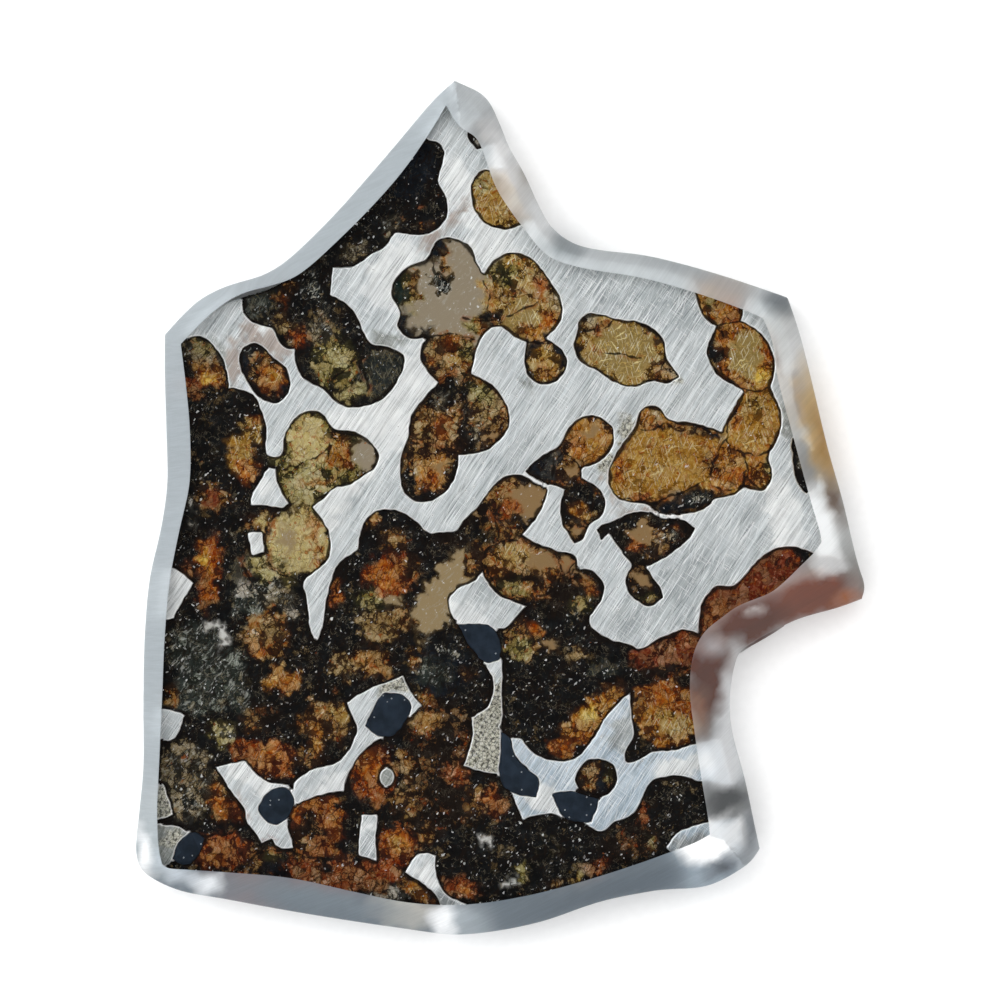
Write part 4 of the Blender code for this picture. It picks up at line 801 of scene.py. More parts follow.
def dashes(node, where, turn, length, width, share):
    """Short spindles: a cell of a stretched Voronoi pattern holds one if its own number is below share."""
    spindle = node("TexVoronoi", turned(node, where, turn, length, width), 1.0, **FLAT_CELLS)
    there = node("Math", node("SeparateColor", spindle.outputs["Color"]), share, **BELOW)
    return node("Math", node("MapRange", spindle, 0.34, 0.18, **RAMP), there, **TIMES)


def weighted(node, total, *terms):
    """The total plus each term times its weight, one node after another."""
    for term, weight in terms:
        total = node("Math", term, weight, total, **SCALED_SUM)
    return total


def laid(node, colour, amount, strength, above):
    """Lays a colour over another by amount times strength."""
    return node("Mix", node("Math", amount, strength, **TIMES), colour, tuple(above), **LAY)


# %% [markdown]
# ## Olivine
# A crystal of magnesium iron silicate, sawn and polished. Seen close it is a mosaic of blocks, fragments and
# chips, which three sizes of Voronoi cells make. Over it lie dark cracks, crooked and straight ones, painted
# glints as bright veins and flecks, pale needles, and specks of white dust in the darkest parts. Where light goes
# deeper into the crystal it comes back darker and stronger in colour, as each channel is raised to the power of
# the depth, and a Gamma node does just that for each chip. The crystal has next to no gloss here, because resin
# lies against it and bends light nearly as much.

# %% Make the olivine
BLOCK, FRAGMENT, CHIP, SPECK_APART = 1.5, 0.52, 0.18, 0.24


def olivine_material():
    """Polished olivine, from the values of its looks and the distances to its border and its seams."""
    made, node = new_material("polished_olivine")
    mm = millimetres(node)
    share, specks, needles_and_glints, rust, calm, seam, edge = (
        node("Attribute", attribute_name=name).outputs["Fac"]
        for name in ("share", "specks", "needles_and_glints", "rust", "calm", "seam", "edge"))

    # lively is 1 where there are cracks and chips, and shore is 1 half way from there to a calm window
    lively = node("Math", 1.0, calm, **LESS)
    shore = node("Math", node("Math", calm, lively, **TIMES), 4.0, **TIMES)

    # places are shifted a little, so that no crack runs quite straight
    shift = node("TexNoise", mm, 1.0, 3.0, 0.6, **FLAT_NOISE).outputs["Color"]
    shift = node("VectorMath", shift, (0.5, 0.5, 0), **LESS)
    bent = node("VectorMath", shift, (0.7, 0.7, 0), mm, **SCALED_SUM)

    # fragments stand out of the ground where they are far enough from the cracks, further if the share is small
    gap, crack, split = (node("TexVoronoi", bent, 1 / size, **FLAT_CRACKS) for size in (BLOCK, FRAGMENT, CHIP))
    block, fragment, chip = (node("SeparateColor", node("TexVoronoi", bent, 1 / size, **FLAT_CELLS).outputs["Color"])
                             for size in (BLOCK, FRAGMENT, CHIP))
    cloud = node("TexNoise", mm, 1.1, 5.0, 0.72, **FLAT_NOISE)
    depth = weighted(
        node, 0.0, (crack, 0.45), (gap, 0.4), (split, 0.5), (block.outputs["Blue"], 0.38),
        (fragment.outputs["Blue"], 0.55), (chip.outputs["Blue"], 0.25), (cloud, 0.9), (share, 0.95), (shore, -0.35))
    chosen = node("MapRange", depth, 1.69, 1.74, **RAMP)

    # rust colours some chips, and glows along the cracks
    colour = node("Attribute", attribute_name="fragments").outputs["Color"]
    rusty = node("Math", chip.outputs["Green"], node("Math", rust, 0.22, **TIMES), **BELOW)
    near = node("MapRange", crack, 0.2, 0.05, **RAMP)
    patch = node("MapRange", node("TexNoise", mm, 1.0, 2.0, **FLAT_NOISE), 0.42, 0.6, **RAMP)
    glow = node("Math", node("Math", near, patch, **TIMES), rust, **TIMES)
    colour = laid(node, colour, node("Math", rusty, glow, **LARGER), 0.7, beneath("#8C4416"))

    # now and then a fragment or a block is a clear window without any chips
    window = node("Math", node("Math", fragment.outputs["Green"], 0.72, **ABOVE),
                  node("Math", block.outputs["Green"], 0.8, **ABOVE), **LARGER)
    window = node("Math", window, lively, **TIMES)
    colour = laid(node, colour, window, 0.4, beneath("#8A7452"))

    # how deep the light goes in each block, fragment and chip: further where the fragment dips into the ground, and
    # less or more by fine grain and by silky streaks
    fine = node("TexNoise", mm, 9.0, 2.0, 0.7, **FLAT_NOISE)
    silk = node("TexNoise", turned(node, bent, 68, 1.1, 0.16), 1.0, 3.0, 0.6, **FLAT_NOISE)
    dip = node("MapRange", depth, 2.2, 1.7, **RAMP)
    power = weighted(node, -0.4, (node("Mix", window, chip, 0.4), 1.0), (fragment, 0.3), (block, 0.4), (fine, 0.6),
                     (silk, 0.7), (dip, 0.7))
    power = node("Mix", node("Math", lively, 0.94, **TIMES), 1.02, power)
    colour = node("Gamma", colour, power)

    # painted glints: bright veins where fine cracks would mirror the light
    wander = node("TexNoise", bent, 1.5, 4.0, 0.65, **FLAT_NOISE)
    crack_glint = node("MapRange", node("TexVoronoi", bent, 3.4, **FLAT_CRACKS), 0.08, 0.02, **RAMP)
    crack_glint = node("Math", crack_glint, node("MapRange", wander, 0.47, 0.55, **RAMP), **TIMES)
    glint_places = node("Math", node("Math", rust, 0.5, **TIMES), needles_and_glints, **LARGER)
    crack_glint = node("Math", crack_glint, glint_places, **TIMES)
    colour = laid(node, colour, crack_glint, 0.7, beneath("#D3A250"))

    # painted glints as short bright flecks, and a few long pale needles
    glint_flecks = node("Math", dashes(node, bent, 24, 1.7, 0.15, 0.06),
                  dashes(node, bent, 118, 1.5, 0.14, 0.05), **LARGER)
    long_ones = node("Math", lines(node, mm, 62, 0.1, 1.4, 0.66, 0.72),
                     lines(node, mm, 105, 0.1, 1.2, 0.66, 0.72), **LARGER)
    colour = laid(node, colour, node("Math", glint_flecks, needles_and_glints, **TIMES), 0.85, beneath("#E3CB80"))
    colour = laid(node, colour, node("Math", long_ones, needles_and_glints, **TIMES), 0.6, beneath("#E2D6A4"))

    # the ground, with hardly seen clouds in it, and a band of rust along the boundaries with other crystals
    ground = node("Attribute", attribute_name="ground").outputs["Color"]
    ground = node("Gamma", ground, node("MapRange", cloud, 0.35, 0.65, 1.12, 0.84))
    band = node("MapRange", seam, 0.35, 0.08, **RAMP)
    colour = laid(node, colour, node("Math", band, patch, **TIMES), 0.5, beneath("#7A3714"))
    colour = node("Mix", chosen, ground, colour, **LAY)

    # hairline cracks between the fragments, and fainter ones between the chips, in some places only
    hair = node("Math", node("MapRange", crack, 0.085, 0.02, **RAMP),
                node("MapRange", split, 0.12, 0.03, 0.0, 0.6), **LARGER)
    some = node("MapRange", node("TexNoise", mm, 0.75, 2.0, **FLAT_NOISE), 0.36, 0.52, **RAMP)
    hair = node("Math", hair, some, **TIMES)
    colour = laid(node, colour, node("Math", hair, lively, **TIMES), 0.85, beneath("#0E0906"))

    # streaks: where the stone is crushed, fine pale strips run up to the right
    crushed = node("Math", node("MapRange", specks, 0.82, 0.98, **RAMP),
                   node("MapRange", cloud, 0.4, 0.6, **RAMP), **TIMES)
    streak = lines(node, bent, 50, 0.13, 0.75, 0.56, 0.66)
    colour = laid(node, colour, node("Math", streak, crushed, **TIMES), 0.6, beneath("#A4A69A"))

    # cleavage: straight thin cracks in two directions, fewer of them where the crystal is fresh and has needles
    cleft = node("Math", lines(node, bent, 74, 0.15, 2.0, 0.62, 0.7),
                 lines(node, bent, 27, 0.17, 1.8, 0.64, 0.72), **LARGER)
    worn = node("Math", lively, node("Math", needles_and_glints, -0.8, 1.0, **SCALED_SUM), **TIMES)
    colour = laid(node, colour, node("Math", cleft, worn, **TIMES), 0.8, beneath("#120B07"))

    # threads: where the darkest parts are cracked finely, thin pale lines wander through them
    thread = node("Math", node("Math", wander, 0.5, **LESS), operation="ABSOLUTE")
    thread = node("MapRange", thread, 0.016, 0.004, **RAMP)
    thread = node("Math", thread, node("Math", specks, patch, **TIMES), **TIMES)
    colour = laid(node, colour, thread, 0.4, beneath("#8C8066"))

    # specks: a cell has one where its number is below the share that is asked for there, some bright and some dim
    grit = node("TexVoronoi", turned(node, bent, 52, 1.3 * SPECK_APART, 0.8 * SPECK_APART), 1.0, **FLAT_CELLS)
    pick = node("SeparateColor", grit.outputs["Color"])
    spot = node("Math", grit, node("Math", pick.outputs["Green"], 0.24, 0.05, **SCALED_SUM), **BELOW)
    asked = node("Math", pick, node("Math", specks, 0.32, **TIMES), **BELOW)
    light = node("Math", pick.outputs["Blue"], 1.8, operation="POWER")
    spot = node("Math", node("Math", spot, asked, **TIMES), light, **TIMES)
    colour = laid(node, colour, spot, 0.95, beneath("#E4E6E2"))

    # the boundary with the next crystal is a dark line that swells and thins
    swell = node("MapRange", node("TexNoise", mm, 1.3, 2.0, **FLAT_NOISE), 0.35, 0.65, 0.03, 0.14)
    seam_line = node("Math", node("Math", swell, seam, **LESS), 16.0, **TIMES)
    colour = laid(node, colour, seam_line, 0.9, beneath("#0C0806"))

    # the dark rim of each crystal, wider in some places than in others
    width = node("MapRange", node("TexNoise", mm, 0.7, 2.0, **FLAT_NOISE), 0.38, 0.7, 0.1, 0.4)
    rim = node("Math", 1.0, node("Math", edge, width, operation="DIVIDE"), **LESS)
    colour = laid(node, colour, node("MapRange", rim, 0.05, 0.5, **RAMP), 0.9, beneath("#0E0A08"))

    bump = node("Bump", {"Height": chip.outputs["Blue"], "Strength": 0.3, "Distance": 0.02 * MM})
    surface = node("BsdfPrincipled", {
        "Base Color": colour, "Roughness": 0.45, "IOR": 1.5, "Specular IOR Level": 0.02, "Normal": bump})
    node("OutputMaterial", {"Surface": surface})
    return made


olivine = olivine_material()
print("olivine:", len(olivine.node_tree.nodes), "nodes")

# %% [markdown]
# ## Nickel iron
# The metal between the crystals was sanded flat and polished, but not to a mirror: fine scratches from the last
# grit all run up to the right, with a fainter set across them. Broken patches are crumbs of metal in dark stone.
# A metal's colour is its base colour, so the scratches change that as well as the bump, and their bright lines
# are painted glints. The bright lip of each tiny pit and the bright line along every border are painted
# highlights, with painted shade inside the pits and at the border.

# %% Make the metal


def metal_material():
    """Sanded nickel iron, from the values of its looks and the distance to its border."""
    made, node = new_material("sanded_nickel_iron")
    mm = millimetres(node)
    breaking, amount, edge = (node("Attribute", attribute_name=name).outputs["Fac"]
                              for name in ("breaking", "scratches", "edge"))
    crumb = node("SeparateColor", node("TexVoronoi", mm, 6.5, **FLAT_CELLS).outputs["Color"])
    cloud = node("MapRange", node("TexNoise", mm, 0.5, 4.0, 0.6, **FLAT_NOISE), 0.35, 0.65, **RAMP)
    colour = node("Mix", node("Mix", breaking, cloud, crumb),
                  *(node("Attribute", attribute_name=name).outputs["Color"] for name in ("ground", "fragments")), **LAY)

    # broken metal is shot through with dark cracks and crumbs
    web = node("MapRange", node("TexVoronoi", mm, 3.3, **FLAT_CRACKS), 0.14, 0.03, **RAMP)
    crumbs = node("MapRange", node("TexNoise", mm, 4.5, 3.0, **FLAT_NOISE), 0.52, 0.6, **RAMP)
    web = node("Math", node("Math", web, 0.7, **TIMES), crumbs, **LARGER)
    colour = laid(node, colour, node("Math", web, breaking, **TIMES), 0.85, linear("#26241F"))

    # the scratches: bands of tone in two widths, fine light lines that are painted glints, dark lines, and a faint
    # bright set across them, painted glints too
    tone = weighted(node, 0.79, (lines(node, mm, 56, 0.34, 10.0, 0.3, 0.7), 0.2),
                    (lines(node, mm, 57, 0.13, 5.0, 0.3, 0.7), 0.22))
    colour = node("VectorMath", colour, {"Scale": tone}, operation="SCALE")
    light = lines(node, mm, 58, 0.075, 3.0, 0.6, 0.68)
    dark = lines(node, mm, 54, 0.08, 3.5, 0.6, 0.7)
    across = node("Math", lines(node, mm, -35, 0.07, 1.6, 0.66, 0.72),
                  lines(node, mm, 74, 0.07, 2.4, 0.64, 0.72), **LARGER)
    colour = laid(node, colour, light, amount, linear("#F4F6F6"))
    colour = laid(node, colour, dark, amount, linear("#676D6E"))
    colour = laid(node, colour, across, node("Math", amount, 0.7, **TIMES), linear("#F0F2F2"))

    # tiny pits, each with a painted highlight on its lip and painted shade in its middle
    pits = node("TexVoronoi", mm, 1.7, **FLAT_CELLS)
    chosen = node("Math", node("SeparateColor", pits.outputs["Color"]), 0.16, **BELOW)
    for outer, inner, strength, shade in ((0.17, 0.1, 0.6, "#F2F3F2"), (0.08, 0.04, 0.8, "#4A4D4C")):
        spot = node("MapRange", pits, outer, inner, **RAMP)
        colour = laid(node, colour, spot, node("Math", chosen, strength, **TIMES), linear(shade))

    # a painted highlight: the bright line along every border where the worn edge would catch the light, with a painted
    # thin shadow right at the border
    colour = laid(node, colour, node("MapRange", edge, 0.14, 0.07, **RAMP), 0.7, linear("#F4F5F4"))
    colour = laid(node, colour, node("MapRange", edge, 0.05, 0.0, **RAMP), 0.6, linear("#2B2B29"))

    groove = node("Math", light, dark, **LESS)
    bump = node("Bump", {"Height": groove, "Strength": 0.35, "Distance": 0.01 * MM})
    surface = node("BsdfPrincipled", {"Base Color": colour, "Metallic": 1.0, "Roughness": 0.42, "Normal": bump})
    node("OutputMaterial", {"Surface": surface})
    return made


metal = metal_material()
print("metal:", len(metal.node_tree.nodes), "nodes")

# %% [markdown]
# ## Chromite
# Small crystals of iron chromium oxide, black with a hint of navy blue, flat and nearly without marks.

# %% Make the chromite


def chromite_material():
    """Polished chromite, the same all over."""
    made, node = new_material("polished_chromite")
    mm = millimetres(node)
    facet = node("SeparateColor", node("TexVoronoi", mm, 1.1, **FLAT_CELLS).outputs["Color"])
    cloud = node("MapRange", node("TexNoise", mm, 1.2, 4.0, **FLAT_NOISE), 0.35, 0.65, 0.0, 0.5)
    colour = node("Mix", node("Math", facet, 0.4, cloud, **SCALED_SUM), tuple(beneath("#131920")),
                  tuple(beneath("#202934")), **LAY)
    grit = node("TexVoronoi", mm, 3.3, **FLAT_CELLS)
    spot = node("Math", node("Math", grit, 0.18, **BELOW),
                node("Math", node("SeparateColor", grit.outputs["Color"]), 0.05, **BELOW), **TIMES)
    colour = laid(node, colour, spot, 0.6, beneath("#AEB6BC"))
    surface = node("BsdfPrincipled", {
        "Base Color": colour, "Roughness": 0.3, "IOR": 1.5, "Specular IOR Level": 0.05})
    node("OutputMaterial", {"Surface": surface})
    return made


chromite = chromite_material()
print("chromite:", len(chromite.node_tree.nodes), "nodes")

# %% [markdown]
# ## From the sheet to solid grains
# Each grain takes its triangles from the sheet as its top, the same ones turned over as its underside, and a wall
# along every side that has no twin. The border is a few hundredths of a millimetre lower than the middle, as
# polishing wears a soft edge, and catches a fine line of light.

# %% Build the grains
WORN_EDGE = 0.03


def put(name, data):
    """An object in the scene that shows this mesh, lamp or camera."""
    made = bpy.data.objects.new(name, data)
    bpy.context.scene.collection.objects.link(made)
    return made


def put_mesh(name, points, faces, materials, kinds=None):
    """A mesh object from points in millimetres and triangles. It sits at the origin, and is flat shaded."""
    mesh = bpy.data.meshes.new(name)
    mesh.vertices.add(len(points))
    mesh.vertices.foreach_set("co", (points * MM).astype(np.float32).ravel())
    mesh.loops.add(faces.size)
    mesh.loops.foreach_set("vertex_index", faces.astype(np.int32).ravel())
    mesh.polygons.add(len(faces))
    mesh.polygons.foreach_set("loop_start", np.arange(0, faces.size, 3, dtype=np.int32))
    for material in materials:
        mesh.materials.append(material)
    if kinds is not None:
        mesh.polygons.foreach_set("material_index", kinds.astype(np.int32))
    mesh.update(calc_edges=True)
    mesh.validate()
    return put(name, mesh)


def keep(piece, name, values):
    """Stores a number or a colour at each vertex of the piece."""
    wide = values.ndim == 2
    made = piece.data.attributes.new(name, "FLOAT_COLOR" if wide else "FLOAT", "POINT")
    if wide:
        values = np.column_stack([values, np.ones(len(values))])
    made.data.foreach_set("color" if wide else "value", values.astype(np.float32).ravel())


def slab(mine):
    """The points and triangles of a grain from its triangles in the sheet, with the place of each of its points in
    the sheet. The lower points follow the upper ones in the same order."""
    used, faces = np.unique(mine, return_inverse=True)
    faces = faces.reshape(-1, 3)
    sides = sides_of(faces)
    count = len(used)
    open_side = ~np.isin(sides @ np.array([count, 1]), sides @ np.array([1, count]))
    a, b = sides[open_side].T
    height = SLICE_HIGH - WORN_EDGE * on_border[used]
    points = np.concatenate([
        np.column_stack([sheet[used], height]), np.column_stack([sheet[used], np.full(count, SLICE_LOW)])])
    walls = np.concatenate([np.stack([b, a, a + count], axis=1), np.stack([b, a + count, b + count], axis=1)])
    return points, np.concatenate([faces, faces[:, ::-1] + count, walls]), np.tile(used, 2)


# for each kind: its slot, material, looks and layouts, how its colours turn into bare ones, and the values that
# its material reads, by their columns after the two colours
KINDS = {
    "metal": ("iron_nickel", metal, METALS, METAL_GRAINS, linear, {"scratches": 7, "breaking": 8}),
    "olivine": ("amber_olivine", olivine, LOOKS, CRYSTALS, beneath,
                {"share": 6, "specks": 7, "needles_and_glints": 8, "rust": 9, "calm": 10}),
    "chromite": ("black_chromite", chromite, BLACKS, {}, beneath, {}),
}

# each grain, and what each place on the sheet shows on the whole, which the slopes need further down
seen = np.zeros((len(sheet), 3))
for number, name in enumerate(slice_nodes):
    kind = name.split("_")[0]
    slot, material, table, layouts, shown, values = KINDS[kind]
    points, faces, places = slab(triangles[owner == number])
    piece = put_mesh(name + "_grain", points, faces, [material])
    first, rows = layouts.get(name, ("ink", []))
    looks = looks_at(sheet[places], first, rows, table, shown)
    keep(piece, "edge", edge[places])
    if kind == "olivine":
        keep(piece, "seam", seam[places])
    if values:
        keep(piece, "ground", looks[:, :3])
        keep(piece, "fragments", looks[:, 3:6])
    for value, column in values.items():
        keep(piece, value, looks[:, column])
    mix = looks[:, :3] + np.clip(looks[:, 6:7], 0, 1) * (looks[:, 3:6] - looks[:, :3])
    seen[places] = mix if kind == "metal" else under_resin(mix)
    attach(piece, "root")
    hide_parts(name)
    print(f"{piece.name}: {len(faces)} triangles")

# %% [markdown]
# ## The block of resin
# Clear casting resin, poured round the slice and set hard. Its face and underside are polished flat; the slope
# round the face and the narrow wall under it are only ground, so they are frosted. The top is a height over the
# plan: it is flat inside the face's outline, and falls outside it in proportion to the way to the wall. The wall
# is the outline carried down through rings, with a chamfer at the foot and the low ledge in the notch.

# %% Build the resin
WALL_TOP, LEDGE_TOP, SHARP_ON_BLOCK, SOFT_EDGE = 3.0, 1.2, 40, 0.12
SLOPE_STEP, SLOPE_REACH, OUTLINE_STEP, SLOPE_CLEARANCE = 0.3, 6.0, 0.05, 0.2
FACE_BANDS, WALL_BAND = (0.06, 0.13), 0.08
LEDGE_BESIDE, LEDGE_PROUD = 0.12, 1.0

wall = rounded(wall_rim, 0.16, SHARP_ON_BLOCK)
face = rounded(face_rim, 0.12, SHARP_ON_BLOCK)
ledge = rounded(rims("resin_lower", LEDGE_TOP)[0], 0.05, SHARP_ON_BLOCK)


def block_height(points):
    """The height of the block's top: from the wall's top at the wall to the face's height at the face's outline,
    straight in between. A drop below the face of less than 2 SOFT_EDGE becomes drop^2 / (4 SOFT_EDGE), and a
    larger one is less by SOFT_EDGE, so the slope starts softly."""
    to_wall, to_face = (distance_to(points, spaced(loop, OUTLINE_STEP), SLOPE_REACH) for loop in (wall, face))
    rise = (FACE - WALL_TOP) * to_wall / np.maximum(to_wall + to_face, 1e-6)
    drop = FACE - WALL_TOP - rise
    drop = np.where(drop < 2 * SOFT_EDGE, drop**2 / (4 * SOFT_EDGE), drop - SOFT_EDGE)
    return np.where(inside(points, face), FACE, FACE - drop)


slope_points = scattered(wall, SLOPE_STEP, seed=31)
slope_points = slope_points[~inside(slope_points, spaced(face, 0.3))]
slope_points = slope_points[distance_to(slope_points, np.concatenate([wall, face]), 1.0) > SLOPE_CLEARANCE]
slope_points = np.concatenate([slope_points, *[face + outward(face) * step for step in FACE_BANDS],
                               wall - outward(wall) * WALL_BAND])
plan, top = triangulated([face, wall], slope_points)
on_face = inside(plan[top].mean(1), face)
heights = block_height(plan)
at_wall = len(face) + np.arange(len(wall))
heights[at_wall] = WALL_TOP

# the rings below: height, how far in, and how much of the ledge
RINGS = [(2.6, 0, 0), (1.32, 0, 0), (1.2, 0, 0.02), (1.2, 0, 0.8), (1.12, 0, 0.96), (0.95, 0, 1), (0.6, 0, 1),
         (0.3, 0.25, 1), (0.16, 0.4, 0.97), (0.1, 0.45, 0.85), (0.1, 0.45, 0.02), (0.0, 0.5, 0)]

# how far the ledge stands out beyond each point of the wall, straight out from it
out = outward(wall)
away = ledge[None] - wall[:, None]
beside = abs(away[:, :, 1] * out[:, :1] - away[:, :, 0] * out[:, 1:])
proud = (away * out[:, None]).sum(2)
proud = np.where((beside < LEDGE_BESIDE) & (proud < LEDGE_PROUD), proud, 0).max(1)
print(f"the ledge stands {proud.max():.2f} mm proud of the wall")

count = len(wall)
rings = [wall + (part * proud - inset)[:, None] * out for _, inset, part in RINGS]
below = np.column_stack([np.concatenate(rings), np.repeat([float(height) for height, _, _ in RINGS], count)])
points = np.concatenate([np.column_stack([plan, heights]), below])
starts = [at_wall] + [len(plan) + ring * count + np.arange(count) for ring in range(len(RINGS))]
walls = []
for upper, lower in zip(starts[:-1], starts[1:]):
    a, b, c, d = upper, np.roll(upper, -1), lower, np.roll(lower, -1)
    walls += [np.stack([b, a, c], axis=1), np.stack([b, c, d], axis=1)]
base_plan, base = triangulated([rings[-1]], np.zeros((0, 2)))
base = base[:, ::-1] + starts[-1][0]
walls = np.concatenate(walls)
faces = np.concatenate([top, walls, base])
print(f"resin: {len(faces)} triangles, {len(base_plan)} points round the underside")

# %% [markdown]
# ## The ground slopes
# Each side of the block was ground by itself. The left side and the bottom were left rather coarse, so they look
# like pale frosted glass with fine lines, and the right side was ground finer, so what lies behind it glows
# through, blurred. No render of plain glass blurs that much within a few millimetres, so each point of the slope
# also takes a painted tint: the mean of what the slice shows around it, mixed with the pale colour of frosted
# resin, which is lighter or darker from side to side as painted light and shade. Over that lie painted
# reflections, the bright and dark places where the block would mirror the room, and painted glows of what shines
# through, again as soft ovals.

# %% Give the slopes their tints
SIDES = [
    # the corner where a side starts, going anticlockwise, its frosted colour with that side's painted light and shade,
    # how much of the slice it shows, and whether it was left coarse
    (-3.2, 29.6, "#949CA1", 0.08, True), (-25.2, -24.0, "#758592", 0.45, True), (17.0, -25.0, "#ECEEEF", 0.60, False),
    (25.3, -6.3, "#D2D0CC", 0.60, False), (20.3, 14.5, "#CBD0D3", 0.40, False),
]
PAINTED_GLOWS = [
    # painted light: what shines through or is mirrored in places, the white and dark ones painted reflections: colour,
    # middle, half widths, turn
    ("#FFFFFF", 0.2, 24.2, 0.8, 2.6, 18), ("#8F979B", 4.4, 18.6, 1.6, 1.2, -40), ("#F2F4F5", 2.6, 20.4, 0.9, 1.8, 30),
    ("#A9AFB2", 12.0, 17.4, 3.0, 0.7, -18), ("#70777C", 19.6, 14.6, 1.0, 1.2, 20),
    ("#E8E9E9", 20.9, 10.6, 0.8, 2.0, 12), ("#D6B67C", 22.2, 5.6, 1.0, 4.2, 12), ("#B0812E", 22.6, 4.6, 0.6, 2.4, 12),
    ("#6B5443", 23.3, 0.4, 0.8, 1.5, 12), ("#FFFFFF", 22.3, -1.6, 1.2, 2.8, 14),
    ("#7E4026", 21.4, -6.4, 3.4, 1.4, 20), ("#FFFFFF", 22.9, -3.9, 0.8, 0.8), ("#A65A26", 24.3, -6.4, 0.9, 0.5, 20),
    ("#602C14", 17.4, -8.0, 2.6, 1.5, 22), ("#FFFFFF", 17.7, -7.25, 0.28, 0.14, 15),
    ("#5C2810", 14.5, -12.0, 1.5, 3.0), ("#C6C2C4", 14.9, -9.6, 0.9, 0.6, 30), ("#F4F6F8", 16.0, -15.0, 0.8, 4.4, -6),
    ("#8A6A58", 14.0, -14.4, 0.6, 1.4), ("#F4F6F8", 15.4, -17.6, 1.5, 1.6), ("#4E5254", 15.9, -20.4, 1.9, 0.9, 8),
    ("#FFFFFF", 14.6, -23.2, 2.2, 1.5, 25), ("#FFFFFF", 16.2, -22.8, 0.9, 0.9),
    ("#4A5058", 15.5, -25.2, 1.1, 0.6, 30), ("#7D8288", 17.6, -22.6, 0.6, 2.0, -10),
    ("#4B5863", 7.6, -26.9, 4.6, 0.9, 16), ("#A9A8A2", -6.6, -28.2, 2.4, 1.0, -6), ("#F4F6F8", -4.0, -28.9, 0.9, 1.1),
    ("#66727B", -12.6, -27.4, 5.0, 0.8, -10), ("#E6EAEE", -20.6, -26.3, 1.0, 0.8),
    ("#FFFFFF", -24.9, -24.2, 0.4, 1.1, 8), ("#B9C2CA", -22.6, -25.4, 1.4, 0.7, -30),
]
BLUR, GLOW_SOFT, SIDE_BLEND, SHOWN_STRENGTH = 0.6, 0.9, 0.7, 1.15
RIM_BAND, EVERY, PARTS = 2.6, 7, 60


def blurred(points, places, colours, spread):
    """The mean colour around each point, in which a place a distance d away counts for exp(-d^2 / (2 spread^2)).
    The smallest d^2 is taken off first, so that a point far from all places takes the nearest one's colour."""
    found = np.empty((len(points), 3))
    for part in np.array_split(np.arange(len(points)), PARTS):
        apart = ((points[part, None] - places[None]) ** 2).sum(2)
        weight = np.exp(-(apart - apart.min(1, keepdims=True)) / (2 * spread**2))
        found[part] = weight @ colours / weight.sum(1, keepdims=True)
    return found


# the wall's points are numbered anticlockwise, so a side runs from its corner to the next one's
corners = np.array([side[:2] for side in SIDES])
starts_at = np.argmin(((wall[:, None] - corners) ** 2).sum(2), axis=0)
wall_side = np.searchsorted(np.sort(starts_at), np.arange(count), side="right") - 1
wall_side = np.argsort(starts_at)[wall_side]


def side_of(places):
    """Which side of the block each place belongs to: that of the nearest point of the wall."""
    found = np.empty(len(places), int)
    for part in np.array_split(np.arange(len(places)), PARTS):
        found[part] = wall_side[((places[part, None] - wall[None]) ** 2).sum(2).argmin(1)]
    return found


# frosted resin with each side's painted light and shade, what the slice shows near its rim painted in, and the painted
# glows and reflections over both; the wall takes the tint at its top
near_rim = np.flatnonzero(distance_to(sheet, slice_rim, RIM_BAND) < RIM_BAND)[::EVERY]
frost_and_side_light = np.array([[*linear(colour), part] for _, _, colour, part, _ in SIDES])
steps = SIDE_BLEND * np.array([(0, 0), (1, 0), (-1, 0), (0, 1), (0, -1)])
frost_and_side_light = np.stack([frost_and_side_light[side_of(plan + step)] for step in steps]).mean(0)
shown_here = np.clip(SHOWN_STRENGTH * blurred(plan, sheet[near_rim], seen[near_rim], BLUR), 0, 0.95)
tint = frost_and_side_light[:, :3] + frost_and_side_light[:, 3:] * (shown_here - frost_and_side_light[:, :3])
bent_plan = plan + ripple(plan, seed=41, shortest=0.8, longest=3.0, height=0.15)
for colour, *oval in PAINTED_GLOWS:
    tint += np.clip(0.5 - past_oval(bent_plan, *oval) / GLOW_SOFT, 0, 1)[:, None] * (linear(colour) - tint)
tint = np.concatenate([tint, np.tile(tint[at_wall], (len(RINGS), 1))])

# finish 0 is polished, 1 finely ground and 2 coarsely ground
coarse = np.array([side[4] for side in SIDES])
top_coarse = coarse[side_of(points[top].mean(1)[:, :2])]
wall_coarse = coarse[side_of(points[walls].mean(1)[:, :2])]
kinds = np.concatenate([np.where(on_face, 0, 1 + top_coarse), 1 + wall_coarse, np.zeros(len(base))]).astype(int)
print("triangles by finish:", np.bincount(kinds))

# %% Make the finishes of the resin


def polished_resin():
    """Clear resin, smooth but for swells of a few thousandths of a millimetre."""
    made, node = new_material("polished_casting_resin")
    swell = node("TexNoise", millimetres(node), 0.25, 1.0, **FLAT_NOISE)
    bump = node("Bump", {"Height": swell, "Strength": 0.2, "Distance": 0.02 * MM})
    surface = node("BsdfPrincipled", {
        "Base Color": (1, 1, 1), "Roughness": 0.0, "IOR": 1.5, "Transmission Weight": 1.0, "Normal": bump})
    node("OutputMaterial", {"Surface": surface})
    return made


